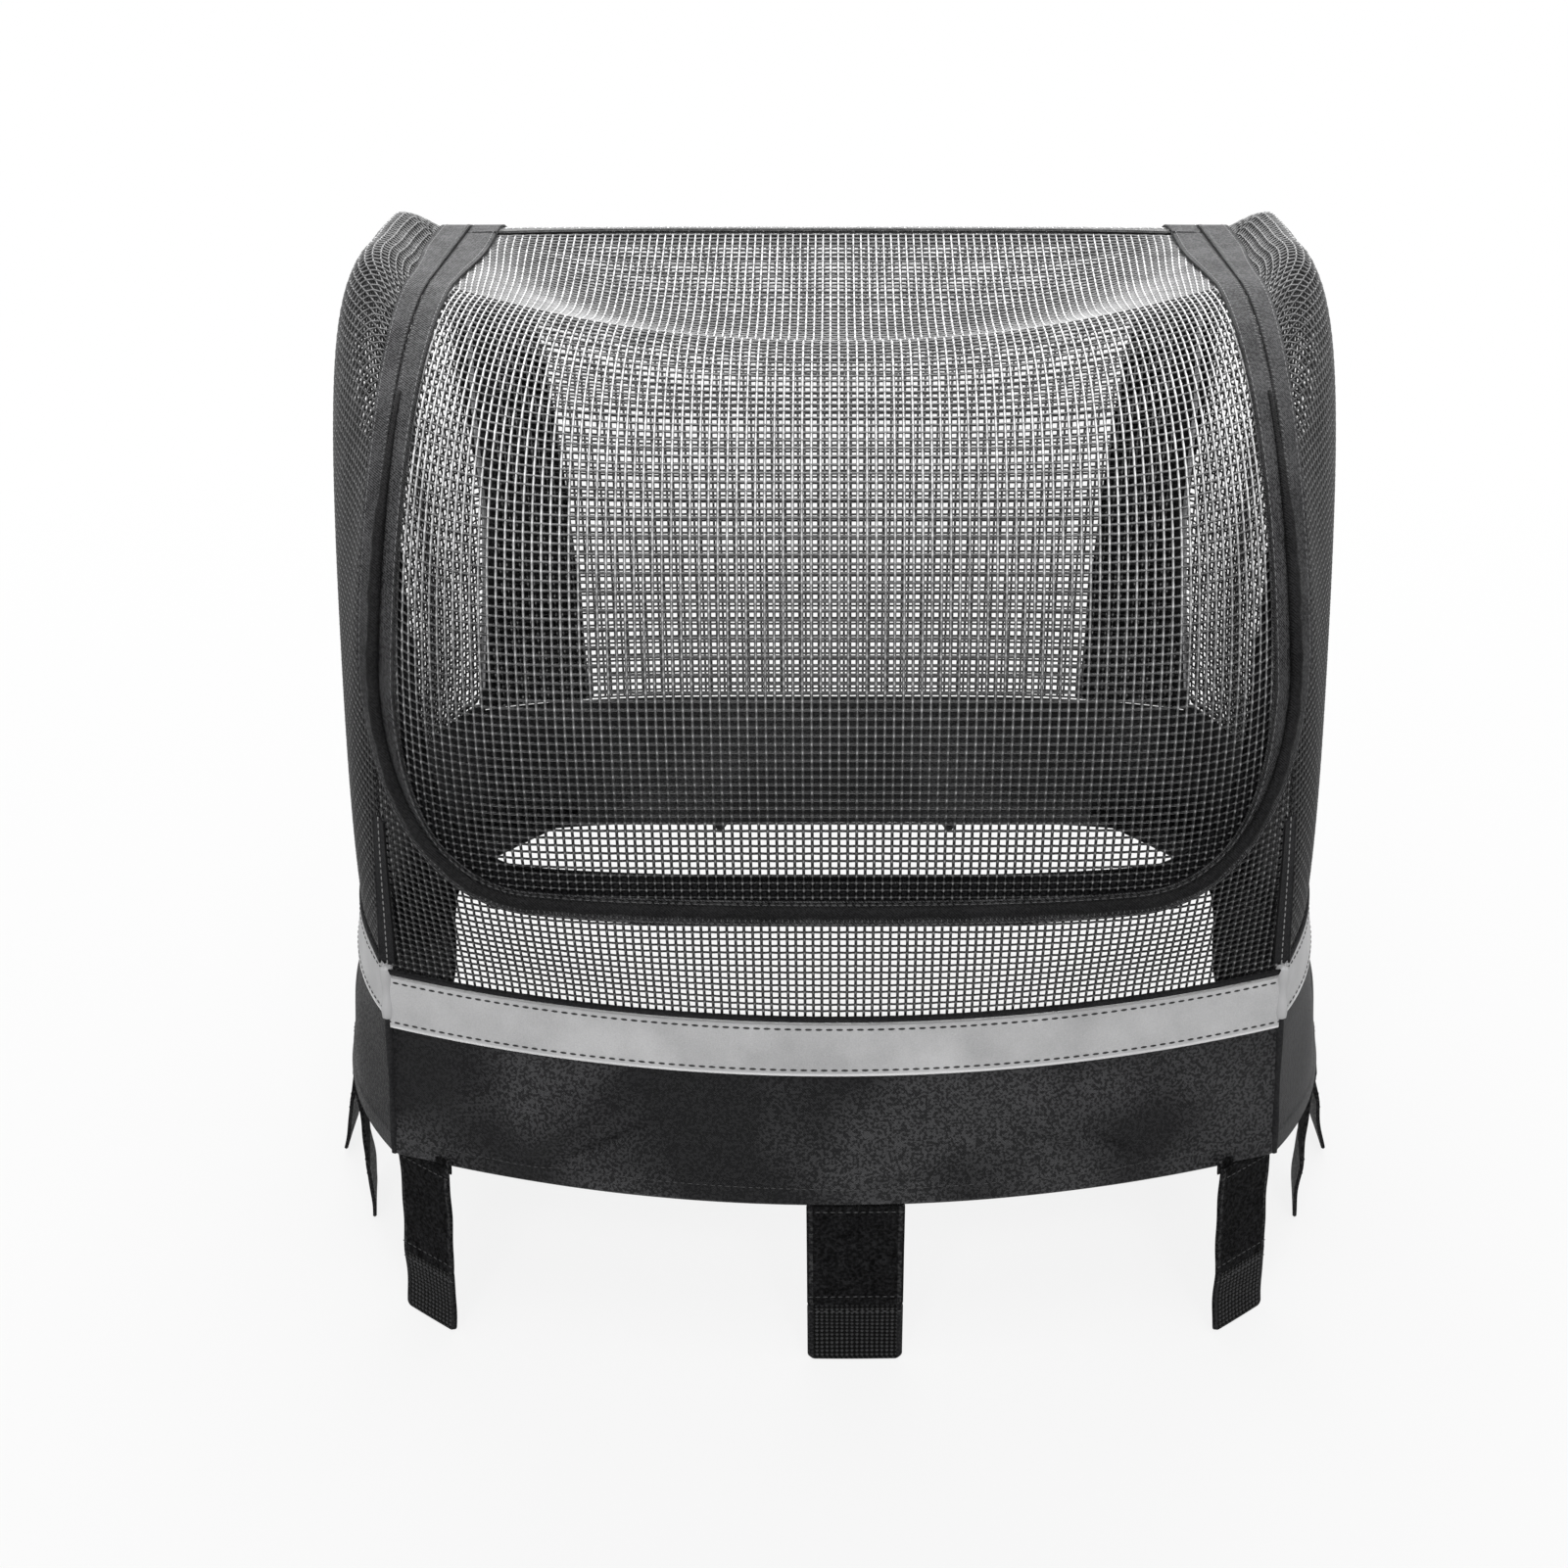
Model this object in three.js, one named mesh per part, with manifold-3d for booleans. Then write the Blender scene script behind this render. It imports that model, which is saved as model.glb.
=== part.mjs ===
import * as THREE from 'three';
import Module from 'manifold-3d';
import { mergeVertices } from 'three/addons/utils/BufferGeometryUtils.js';

// A mesh hood for a pet basket. Millimetres, X to the right, Y to the rear, Z up from the hem.
const wasm = await Module();
wasm.setup();

// Fabric thicknesses and the play between neighbouring layers
const meshThick = 1;
const clothThick = 1.5;
const tapeThick = 1;
const play = 0.45;

// Heights over the hem
const skirtHeight = 86;
const frontDip = 2;
const sideRise = 4.5;
const crestHeight = 346;

// The two arches that carry the zips: Y and Z from the front foot over the crest to the rear foot
const archFootHalf = 188;
const archCrestHalf = 167;
const archFootY = -120;
const archFrontY = -134;
const archFrontZ = 210;
const archRidgeY = 4;
const hingeY = 90;
const archBackRadius = 40;
const archBackY = 141;
const archBackFootY = 133;
const archTaperPower = 1.3;

// The middle line of the front, the roof and the back
const midFootY = -152.5;
const midFrontY = -160;
const midFrontZ = 205;
const midRidgeY = -66;
const midRidgeDrop = 5.5;
const midCrestRise = 1.5;
const midBackStartY = 94;
const midBackY = 157;
const midBackZ = 290;
const midBackFootY = 150.5;
const roofSag = 15;
const sagShiftPower = 0.8;

// How square the cross-section is at each station, and how level it meets the arches there
const squarenessShares = [2, 9, 2.3, 6, 6, 4, 4];
const levelYShares = [0, 0, 0, 1, 1, 1, 0];
const levelZShares = [0, 0, 1, 1, 1, 1, 0];

// Stations along the arches
const frontStation = 1;
const ridgeStation = 2;
const hingeStation = 3;
const backStartStation = 4;
const backStation = 5;
const endStation = 6;

// Skirt
const hemFrontY = -165.5;
const hemFrontHalf = 191.5;
const hemFrontCornerY = -131;
const hemFrontPower = 2;
const hemRearY = 166;
const hemRearHalf = 192;
const hemRearCornerY = 150;
const hemSideBulge = 38;
const waistSideBulge = 26;
const bulgePower = 3;
const rearHemPower = 4;
const cornerGap = 0.7;
const foldDepth = 2.4;
const foldTopShare = 0.64;
const foldSlantShare = 0.12;
const foldPivotShare = 0.3;

// Sides: how far the net bellies out over the arches and over the waist
const bellyBulge = 8;
const shoulderBulge = 6;
const earBulge = 40;
const earRise = 62;
const bulgeStartY = -115;
const bulgeFullY = 30;
const bulgeFadeY = 85;
const bulgeEndY = 142;
const shiftReach = 90;
const lowKnotShare = 0.42;
const highKnotShare = 0.88;

// Openings that stand for the net: how much of a block each takes, and the grid lines between them
const openShare = 0.64;
const doorOpenRows = [0, 2, 4, 6, 8, 10, 12, 14, 16, 18];
const doorOpenColumns = [2, 4, 6, 8, 10, 12, 14, 16];
const sideOpenRows = [4, 6, 8, 10, 12, 14, 16, 20];
const sideOpenColumns = [2, 4, 5, 6, 7, 8, 9, 10];

// Reflective tape and the dark binding above it
const reflectiveWidth = 24;
const reflectiveThick = 0.8;
const reflectiveDrop = 0.6;
const bindingWidth = 2.2;
const bindingRise = 0.9;

// Zip: half widths measured from the line where its two halves meet
const zipHalf = 14;
const zipSlit = 0.7;
const zipLowDoorHalf = 6.4;
const zipLowBodyHalf = 4.8;
const bandHalf = 15;
const seamHalf = 2.25;
const bandGrowShare = 0.25;
const bandFadeShares = [0.1, 0.6];
const zipEndShare = 0.78;
const coilRadius = 1;
const coilInset = 2;
const meshEdge = 3.5;

// The door's lower outline on the front face
const doorJoinShare = 1.1;
const doorFlatHalf = 115;
const doorLowZ = 138.3;
const doorCornerRise = 3;
const doorCornerPower = 2.3;

// Piping, wires and seam bindings
const pipingRadius = 2.4;
const pipingInset = 3.5;
const pipingTopShare = 1.6;
const pipingEndRows = 3;
const wireRadius = 1.25;
const wireOffsetShare = 0.6;
const cornerBindingHalf = 4.2;
const cornerBindingTopShare = 0.66;
const stripTopHalf = 20;
const stripFootHalf = 57;
const stripStartShare = 0.8;
const stripTaperPower = 0.8;
const hingeBindingWidth = 6;

// Sliders and their pulls
const sliderParkAngle = 50;
const sliderParkShare = 0.65;
const sliderLength = 9.5;
const sliderWidth = 9;
const plateThick = 1.2;
const webThick = 0.5;
const slotPlay = 0.45;
const slotPlayLow = 1;
const crownLength = 7;
const crownThick = 2;
const crownHeight = 3.4;
const crownWall = 1.2;
const pullLength = 23;
const pullWidth = 6;
const pullThick = 1;

// Straps: a loop piece under the hem and a hook piece sewn to its end
const loopLength = 55;
const hookLength = 31;
const strapThick = 1.8;
const strapGap = 0.5;
const strapDrop = 0.6;
const sideStrapWidth = 30;
const frontStrapWidth = 40;
const frontStrapX = 9;
const cornerStrapX = 179;
const cornerStrapAngle = 18;
const cornerSplayAngle = 4;
const middleStrapY = -58;
const rearStrapY = -8;
const rearSplayAngle = 12;
const hookCorner = 2.5;
const loopCorner = 0.5;
const hemProbe = 1;
const rearTabX = 65.5;
const rearTabWidth = 9;
const rearTabDrop = 6;

const { lerp, clamp, smoothstep, degToRad } = THREE.MathUtils;
const half = 0.5;
const rightAngle = Math.PI / 2;
const vector = (x, y, z) => new THREE.Vector3(x, y, z);

const archBackStartY = archBackY - archBackRadius;
const archBackZ = crestHeight - archBackRadius;

// Shell: a surface of across (0 in the middle, 1 on an arch) and along (the stations above)
const archLine = {
  y: [archFootY, archFrontY, archRidgeY, hingeY, archBackStartY, archBackY, archBackFootY],
  z: [skirtHeight, archFrontZ, crestHeight, crestHeight, crestHeight, archBackZ, skirtHeight],
  sag: 0,
};
const midCrestZ = crestHeight + midCrestRise;
const midLine = {
  y: [midFootY, midFrontY, midRidgeY, hingeY, midBackStartY, midBackY, midBackFootY],
  z: [
    skirtHeight - frontDip, midFrontZ, crestHeight - midRidgeDrop, midCrestZ,
    midCrestZ, midBackZ, skirtHeight,
  ],
  sag: roofSag,
};
const lastSpan = endStation - 1;

function lineAt(line, along) {
  const span = clamp(Math.floor(along), 0, lastSpan);
  const share = along - span;
  const [y0, y1] = line.y.slice(span);
  const [z0, z1] = line.z.slice(span);
  const rise = Math.sin(share * rightAngle);
  const run = Math.cos(share * rightAngle);
  if (span === 0) return [lerp(y0, y1, rise), lerp(z0, z1, share)];
  if (span === 1) return [lerp(y1, y0, run), lerp(z0, z1, rise)];
  if (span === backStartStation) return [lerp(y0, y1, rise), lerp(z1, z0, run)];
  if (span === lastSpan) return [lerp(y0, y1, share * share), lerp(z0, z1, share)];
  const sag = span === ridgeStation ? line.sag * Math.sin(Math.PI * Math.pow(share, sagShiftPower)) : 0;
  return [lerp(y0, y1, share), lerp(z0, z1, share) - sag];
}

function halfWidthAt(z) {
  const share = clamp((crestHeight - z) / (crestHeight - skirtHeight), 0, 1);
  return lerp(archCrestHalf, archFootHalf, Math.pow(share, archTaperPower));
}

function shareAt(shares, along) {
  const span = clamp(Math.floor(along), 0, lastSpan);
  return lerp(shares[span], shares[span + 1], smoothstep(along - span, 0, 1));
}

function archAt(along) {
  const [y, z] = lineAt(archLine, along);
  const [midY, midZ] = lineAt(midLine, along);
  const power = shareAt(squarenessShares, along);
  const levelY = shareAt(levelYShares, along);
  const levelZ = shareAt(levelZShares, along);
  const x = halfWidthAt(z);
  const dy = midY - y;
  const dz = midZ - z;
  const outward = vector(x, -dy * power * (1 - levelY), -dz * power * (1 - levelZ)).normalize();
  return { x, y, z, dy, dz, power, levelY, levelZ, outward };
}

function shellPoint(across, along) {
  const arch = archAt(clamp(along, 0, endStation));
  const share = Math.abs(across);
  const side = Math.sign(across);
  if (share > 1) {
    const point = vector(arch.x, arch.y, arch.z).addScaledVector(arch.outward, (share - 1) * arch.x);
    return vector(point.x * side, point.y, point.z);
  }
  const hump = 1 - Math.pow(share, arch.power);
  const humpY = lerp(hump, hump * hump, arch.levelY);
  const humpZ = lerp(hump, hump * hump, arch.levelZ);
  return vector(arch.x * across, arch.y + arch.dy * humpY, arch.z + arch.dz * humpZ);
}

const probeShare = 0.012;
const heart = vector(0, (archFootY + archBackFootY) * half, skirtHeight);

function shellNormal(across, along) {
  const wide = shellPoint(across + probeShare, along).sub(shellPoint(across - probeShare, along));
  const long = shellPoint(across, along + probeShare).sub(shellPoint(across, along - probeShare));
  const normal = wide.cross(long).normalize();
  const out = shellPoint(across, along).sub(heart);
  return normal.dot(out) < 0 ? normal.negate() : normal;
}

function spot([across, along]) {
  return { point: shellPoint(across, along), normal: shellNormal(across, along) };
}

// Across value at a distance from the arch, measured along the surface, inward when positive
const walkSteps = 12;

function inward(along, distance) {
  const width = archAt(along).x;
  if (distance <= 0) return 1 - distance / width;
  let across = 1;
  for (let step = 0; step < walkSteps; step += 1) {
    const next = across - probeShare * half;
    const stretch = shellPoint(across, along).distanceTo(shellPoint(next, along)) / (across - next);
    across -= distance / walkSteps / stretch;
  }
  return across;
}

// Shell place of a point of the front face, given as seen from the front
const searchSteps = 32;

function onFront(x, z) {
  let low = 0;
  let high = ridgeStation;
  let across = 0;
  for (let step = 0; step < searchSteps; step += 1) {
    const along = (low + high) * half;
    const arch = archAt(along);
    const beyond = (Math.abs(x) - arch.x) / (arch.x * arch.outward.x);
    across = Math.sign(x) * (beyond > 0 ? 1 + beyond : Math.abs(x) / arch.x);
    if (shellPoint(across, along).z < z) low = along;
    else high = along;
  }
  return [across, (low + high) * half];
}

// Closed bodies from grids of points and normals. A net's sheet has openings: each takes a block
// of grid cells and keeps bars of the sheet around itself.
function openingBlocks(rowLines, columnLines) {
  return rowLines.slice(0, -1).flatMap((top, i) => columnLines.slice(0, -1).map((left, j) => {
    return { top, bottom: rowLines[i + 1], left, right: columnLines[j + 1] };
  }));
}

function ringAround({ top, bottom, left, right }) {
  const ring = [];
  for (let j = left; j < right; j += 1) ring.push([top, j]);
  for (let i = top; i < bottom; i += 1) ring.push([i, right]);
  for (let j = right; j > left; j -= 1) ring.push([bottom, j]);
  for (let i = bottom; i > top; i -= 1) ring.push([i, left]);
  return ring;
}

// A place between grid lines, on the side of the sheet that the lift gives
function placeIn(grid, row, column, lift) {
  const lastRow = grid.length - 1;
  const lastColumn = grid[0].length - 1;
  const i = Math.floor(row);
  const j = Math.floor(column);
  const corner = (down, over) => {
    const { point, normal } = grid[Math.min(i + down, lastRow)][Math.min(j + over, lastColumn)];
    return point.clone().addScaledVector(normal, lift);
  };
  const upper = corner(0, 0).lerp(corner(0, 1), column - j);
  const lower = corner(1, 0).lerp(corner(1, 1), column - j);
  return upper.lerp(lower, row - i);
}

function closedSheet(grid, low, high, openings = []) {
  const rows = grid.length;
  const columns = grid[0].length;
  const places = [];
  for (const lift of [high, low]) {
    for (const row of grid) {
      for (const cell of row) {
        const place = cell.point.clone().addScaledVector(cell.normal, lift);
        places.push(place.x, place.y, place.z);
      }
    }
  }
  const id = (layer, i, j) => (layer * rows + i) * columns + j;
  const index = [];
  const quad = (a, b, c, d) => index.push(a, b, c, a, c, d);
  const isOpen = (i, j) => openings.some(({ top, bottom, left, right }) => {
    return i >= top && i < bottom && j >= left && j < right;
  });
  for (let i = 0; i + 1 < rows; i += 1) {
    for (let j = 0; j + 1 < columns; j += 1) {
      if (isOpen(i, j)) continue;
      quad(id(0, i, j), id(0, i + 1, j), id(0, i + 1, j + 1), id(0, i, j + 1));
      quad(id(1, i, j), id(1, i, j + 1), id(1, i + 1, j + 1), id(1, i + 1, j));
    }
  }
  const lastRow = rows - 1;
  const lastColumn = columns - 1;
  for (let j = 0; j < lastColumn; j += 1) {
    quad(id(0, 0, j), id(0, 0, j + 1), id(1, 0, j + 1), id(1, 0, j));
    quad(id(0, lastRow, j + 1), id(0, lastRow, j), id(1, lastRow, j), id(1, lastRow, j + 1));
  }
  for (let i = 0; i < lastRow; i += 1) {
    quad(id(0, i + 1, 0), id(0, i, 0), id(1, i, 0), id(1, i + 1, 0));
    quad(id(0, i, lastColumn), id(0, i + 1, lastColumn), id(1, i + 1, lastColumn), id(1, i, lastColumn));
  }
  for (const opening of openings) {
    const ring = ringAround(opening);
    const first = places.length / 3;
    const inner = (layer, k) => first + layer * ring.length + (k % ring.length);
    for (const lift of [high, low]) {
      for (const [i, j] of ring) {
        const row = lerp((opening.top + opening.bottom) * half, i, openShare);
        const column = lerp((opening.left + opening.right) * half, j, openShare);
        const place = placeIn(grid, row, column, lift);
        places.push(place.x, place.y, place.z);
      }
    }
    ring.forEach(([i, j], k) => {
      const [nextI, nextJ] = ring[(k + 1) % ring.length];
      quad(id(0, i, j), inner(0, k), inner(0, k + 1), id(0, nextI, nextJ));
      quad(id(1, i, j), id(1, nextI, nextJ), inner(1, k + 1), inner(1, k));
      quad(inner(0, k + 1), inner(0, k), inner(1, k), inner(1, k + 1));
    });
  }
  return closedGeometry(places, index);
}

function closedGeometry(places, index) {
  const corner = (k) => vector(places[3 * k], places[3 * k + 1], places[3 * k + 2]);
  let volume = 0;
  for (let k = 0; k < index.length; k += 3) {
    volume += corner(index[k]).dot(corner(index[k + 1]).cross(corner(index[k + 2])));
  }
  if (volume < 0) index.reverse();
  const geometry = new THREE.BufferGeometry();
  geometry.setAttribute('position', new THREE.Float32BufferAttribute(places, 3));
  geometry.setIndex(index);
  geometry.computeVertexNormals();
  return geometry;
}

function gridNormals(points) {
  const lastRow = points.length - 1;
  const lastColumn = points[0].length - 1;
  return points.map((row, i) => row.map((point, j) => {
    const down = points[Math.min(i + 1, lastRow)][j].clone().sub(points[Math.max(i - 1, 0)][j]);
    const over = row[Math.min(j + 1, lastColumn)].clone().sub(row[Math.max(j - 1, 0)]);
    const normal = down.cross(over).normalize();
    if (normal.dot(point.clone().sub(heart)) < 0) normal.negate();
    return { point, normal };
  }));
}

// A closed tube through frames of point, normal and radius
function closedTube(frames, sides) {
  const places = [];
  frames.forEach((frame, i) => {
    const before = frames[Math.max(i - 1, 0)].point;
    const after = frames[Math.min(i + 1, frames.length - 1)].point;
    const ahead = after.clone().sub(before).normalize();
    const up = frame.normal.clone().addScaledVector(ahead, -frame.normal.dot(ahead)).normalize();
    const aside = ahead.clone().cross(up);
    for (let k = 0; k < sides; k += 1) {
      const turn = (2 * Math.PI * (k + half)) / sides;
      const place = frame.point.clone();
      place.addScaledVector(up, frame.radius * Math.cos(turn));
      place.addScaledVector(aside, frame.radius * Math.sin(turn));
      places.push(place.x, place.y, place.z);
    }
  });
  const index = [];
  for (let i = 0; i + 1 < frames.length; i += 1) {
    for (let k = 0; k < sides; k += 1) {
      const a = i * sides + k;
      const b = i * sides + ((k + 1) % sides);
      index.push(a, b, b + sides, a, b + sides, a + sides);
    }
  }
  const last = (frames.length - 1) * sides;
  for (let k = 1; k + 1 < sides; k += 1) {
    index.push(0, k + 1, k);
    index.push(last, last + k, last + k + 1);
  }
  return closedGeometry(places, index);
}

function liftedFrame(place, lift, radius) {
  const { point, normal } = spot(place);
  return { point: point.addScaledVector(normal, lift), normal, radius };
}

function solidOf(geometry) {
  const plain = geometry.clone();
  plain.deleteAttribute('normal');
  plain.deleteAttribute('uv');
  const merged = mergeVertices(plain);
  const vertProperties = new Float32Array(merged.attributes.position.array);
  const triVerts = new Uint32Array(merged.index.array);
  return new wasm.Manifold(new wasm.Mesh({ numProp: 3, vertProperties, triVerts }));
}

function joined(first, second) {
  const mesh = solidOf(first).add(solidOf(second)).getMesh();
  const geometry = new THREE.BufferGeometry();
  geometry.setAttribute('position', new THREE.Float32BufferAttribute(mesh.vertProperties, 3));
  geometry.setIndex(Array.from(mesh.triVerts));
  geometry.computeVertexNormals();
  return geometry;
}

// Looks
function look(color, roughness, metalness = 0) {
  return new THREE.MeshStandardMaterial({ color, roughness, metalness });
}
const netLook = look(0x232325, 0.72);
const clothLook = look(0x1a1a1c, 0.85);
const reflectiveLook = look(0xa9a9aa, 0.5);
const bindingLook = look(0x161617, 0.8);
const zipTapeLook = look(0x38383a, 0.75);
const coilLook = look(0x141415, 0.5);
const pipingLook = look(0x3a3a3c, 0.7);
const wireLook = look(0x9b9c9e, 0.35, 1);
const metalLook = look(0x2b2b2d, 0.4, 0.6);
const loopLook = look(0x19191a, 0.95);
const hookLook = look(0x1d1d1f, 0.8);

const hood = new THREE.Group();
const door = new THREE.Group();

function addPiece(parent, name, geometry, material) {
  const piece = new THREE.Mesh(geometry, material);
  piece.name = name;
  parent.add(piece);
  return piece;
}

const sides = [['left', -1], ['right', 1]];
const skinLow = meshThick * half + play;
const skinHigh = skinLow + tapeThick;

// Stations shared by every layer, so that stacked layers keep their spacing
function steps(from, to, count) {
  return Array.from({ length: count + 1 }, (unused, k) => lerp(from, to, k / count));
}
const curveSteps = 9;
const hingeShare = play / (hingeY - archRidgeY);
const doorTopStation = hingeStation - hingeShare;
const bodyTopStation = hingeStation + play / (archBackStartY - hingeY);
const zipEndStation = backStartStation + zipEndShare;
const roofStations = steps(ridgeStation, doorTopStation, 4);
const upperStations = [...steps(doorJoinShare, ridgeStation, curveSteps).slice(0, -1), ...roofStations];

// How wide the band lies on the outer side of an arch
function bandOuter(along) {
  const [fadeStart, fadeEnd] = bandFadeShares;
  const front = smoothstep(along, frontStation, frontStation + bandGrowShare);
  const back = 1 - smoothstep(along, backStation + fadeStart, backStation + fadeEnd);
  return lerp(seamHalf, bandHalf, Math.min(front, back));
}

// Door outline: down the arch, round the lower corner and along the bottom
const joinZ = archAt(doorJoinShare).z;
const joinX = archAt(doorJoinShare).x;
const cornerZ = doorLowZ + doorCornerRise;

function cornerAt(turn) {
  const out = Math.pow(Math.max(Math.cos(turn), 0), 2 / doorCornerPower);
  const down = Math.pow(Math.max(Math.sin(turn), 0), 2 / doorCornerPower);
  return [lerp(doorFlatHalf, joinX, out), lerp(joinZ, cornerZ, down)];
}

function bottomAt(share) {
  return [doorFlatHalf * share, doorLowZ + doorCornerRise * share * share];
}

const turnProbeShare = 0.01;

function cornerInward(turn) {
  const [x0, z0] = cornerAt(Math.max(turn - turnProbeShare, 0));
  const [x1, z1] = cornerAt(Math.min(turn + turnProbeShare, rightAngle));
  const length = Math.hypot(x1 - x0, z1 - z0);
  return [(z1 - z0) / length, (x0 - x1) / length];
}

const narrowingShare = 0.55;

function lowWidth(distance, lowest, turn) {
  const joinReach = (1 - Math.abs(inward(doorJoinShare, distance))) * joinX;
  const reach = distance > 0 ? joinReach : distance * archAt(doorJoinShare).outward.x;
  return lerp(reach, lowest, smoothstep(turn / rightAngle, 0, narrowingShare));
}

// One row of the zip: the shell place at a wanted distance from the line, door side positive
function zipRow(kind, value, side) {
  if (kind === 'arch') {
    return (distance) => [side * inward(value, distance), value];
  }
  const onCorner = kind === 'corner';
  const [x, z] = onCorner ? cornerAt(value) : bottomAt(value);
  const [nx, nz] = onCorner ? cornerInward(value) : [0, 1];
  const turn = onCorner ? value : rightAngle;
  return (distance, lowest = distance) => {
    const width = lowWidth(distance, lowest, turn);
    return onFront(side * (x + nx * width), z + nz * width);
  };
}

const cornerTurns = steps(0, rightAngle, 9).slice(1);
const bottomShares = [0.75, 0.5, 0.25];

function sideRows(side, stations) {
  return [
    ...stations.map((along) => zipRow('arch', along, side)),
    ...cornerTurns.map((turn) => zipRow('corner', turn, side)),
    ...bottomShares.map((share) => zipRow('bottom', share, side)),
  ];
}

function zipRows(stations) {
  const falling = [...stations].reverse();
  return [...sideRows(1, falling), zipRow('bottom', 0, 1), ...sideRows(-1, falling).reverse()];
}

const doorRows = zipRows(upperStations);
const parkSteps = 7;
const behindStations = [bodyTopStation, ...steps(backStartStation, zipEndStation, parkSteps)];
const bodyRows = zipRows([...upperStations, ...behindStations]);
const tapeStops = [0, 0.5, 1];

function zipTape(rows, widest, lowest) {
  const slit = Math.sign(widest) * zipSlit;
  return closedSheet(rows.map((row) => tapeStops.map((stop) => {
    return spot(row(lerp(slit, widest, stop), lerp(slit, lowest, stop)));
  })), skinLow, skinHigh);
}

const coilLift = skinLow - play - coilRadius;
const coilSides = 5;

function zipCoil(rows, inset) {
  return closedTube(rows.map((row) => liftedFrame(row(inset), coilLift, coilRadius)), coilSides);
}

// Door
function mirrored(halfRow) {
  const right = halfRow.map((place) => [-place[0], place[1]]).reverse();
  return [...halfRow, ...right.slice(1)];
}
const meshStops = [0, 0.5, 1];
const doorInnerShares = [0.92, 0.8, 0.66, 0.5, 0.34, 0.17, 0];

function doorRowAt(along) {
  const edge = meshStops.map((stop) => -inward(along, lerp(meshEdge, zipHalf, stop)));
  const inner = doorInnerShares.map((share) => edge[edge.length - 1] * share);
  return [...edge, ...inner];
}

const doorBottomTurnShares = [0.12, 0.24, 0.37, 0.51, 0.66, 0.82, 1];
const doorBottomShares = [0.68, 0.34, 0];

function pathPlaces(turnShares, flatShares, distance) {
  const turned = turnShares.map((share) => zipRow('corner', share * rightAngle, -1)(distance));
  const flat = flatShares.map((share) => zipRow('bottom', share, -1)(distance));
  return [...turned, ...flat];
}

const lowRows = 5;

function doorGrid() {
  const joinRow = doorRowAt(doorJoinShare).map((across) => [across, doorJoinShare]);
  const bottomRow = pathPlaces(doorBottomTurnShares, doorBottomShares, meshEdge);
  const low = steps(0, 1, lowRows).slice(0, -1).map((share) => joinRow.map((place, j) => {
    return [lerp(bottomRow[j][0], place[0], share), lerp(bottomRow[j][1], place[1], share)];
  }));
  const high = upperStations.map((along) => doorRowAt(along).map((across) => [across, along]));
  return [...low, ...high].map((row) => mirrored(row).map(spot));
}

const halfMesh = meshThick * half;
const doorOpenings = openingBlocks(doorOpenRows, doorOpenColumns);
addPiece(door, 'door_mesh', closedSheet(doorGrid(), -halfMesh, halfMesh, doorOpenings), netLook);
addPiece(door, 'zip_tape_door', zipTape(doorRows, zipHalf, zipLowDoorHalf), zipTapeLook);
addPiece(door, 'zip_coil_door', zipCoil(doorRows, coilInset), coilLook);

const pipingSides = 7;
const pipingRows = zipRows(upperStations.filter((along) => along <= pipingTopShare));
const pipingFrames = pipingRows.map((row, i) => {
  const fromEnd = Math.min(i, pipingRows.length - 1 - i);
  const radius = pipingRadius * lerp(half, 1, smoothstep(fromEnd, 0, pipingEndRows));
  return liftedFrame(row(pipingInset), skinHigh + play + radius, radius);
});
addPiece(door, 'door_piping', closedTube(pipingFrames, pipingSides), pipingLook);
hood.add(door);

addPiece(hood, 'zip_tape_body', zipTape(bodyRows, -zipHalf, -zipLowBodyHalf), zipTapeLook);
addPiece(hood, 'zip_coil_body', zipCoil(bodyRows, -coilInset), coilLook);

// Lower front mesh, from the skirt up to the zip
const frontTopTurnShares = [0.24, 0.35, 0.46, 0.57, 0.68, 0.8, 0.92];
const frontTopShares = [0.9, 0.65, 0.33, 0];
const frontFootShares = [1, 0.93, 0.86, 0.79, 0.72, 0.65, 0.58, 0.48, 0.34, 0.18, 0];
const frontRows = 6;
const edgeShare = 1 - play / archFootHalf;
const frontFootStation = play / (archFrontZ - skirtHeight);

function frontGrid() {
  const top = pathPlaces(frontTopTurnShares, frontTopShares, -meshEdge);
  const grid = steps(0, 1, frontRows).map((share) => top.map(([across, along], j) => {
    const foot = -frontFootShares[j] * edgeShare;
    const limited = Math.max(across, -edgeShare);
    return [lerp(foot, limited, share), lerp(frontFootStation, along, share)];
  }));
  return grid.map((row) => mirrored(row).map(spot));
}
addPiece(hood, 'front_mesh', closedSheet(frontGrid(), -halfMesh, halfMesh), netLook);

// Rear mesh: the roof behind the door and the back wall
const lowBackStations = steps(zipEndStation, backStation, 2).slice(1);
const rearStations = [
  ...behindStations,
  ...lowBackStations,
  ...steps(backStation, endStation, 5).slice(1),
];

function stripInner(along) {
  const share = clamp((archBackZ - archAt(along).z) / (archBackZ - skirtHeight), 0, 1);
  return lerp(stripTopHalf, stripFootHalf, Math.pow(share, stripTaperPower));
}
const rearInnerShares = [0.86, 0.66, 0.45, 0.22, 0];

function rearRow(along) {
  const edge = meshStops.map((stop) => -inward(along, lerp(meshEdge, stripInner(along), stop)));
  const inner = rearInnerShares.map((share) => edge[edge.length - 1] * share);
  return mirrored([...edge, ...inner].map((across) => [across, along])).map(spot);
}
const rearFootShare = play / (archBackZ - skirtHeight);
const rearMeshStations = rearStations.map((along) => Math.min(along, endStation - rearFootShare));
addPiece(hood, 'rear_mesh', closedSheet(rearMeshStations.map(rearRow), -halfMesh, halfMesh), netLook);

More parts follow.
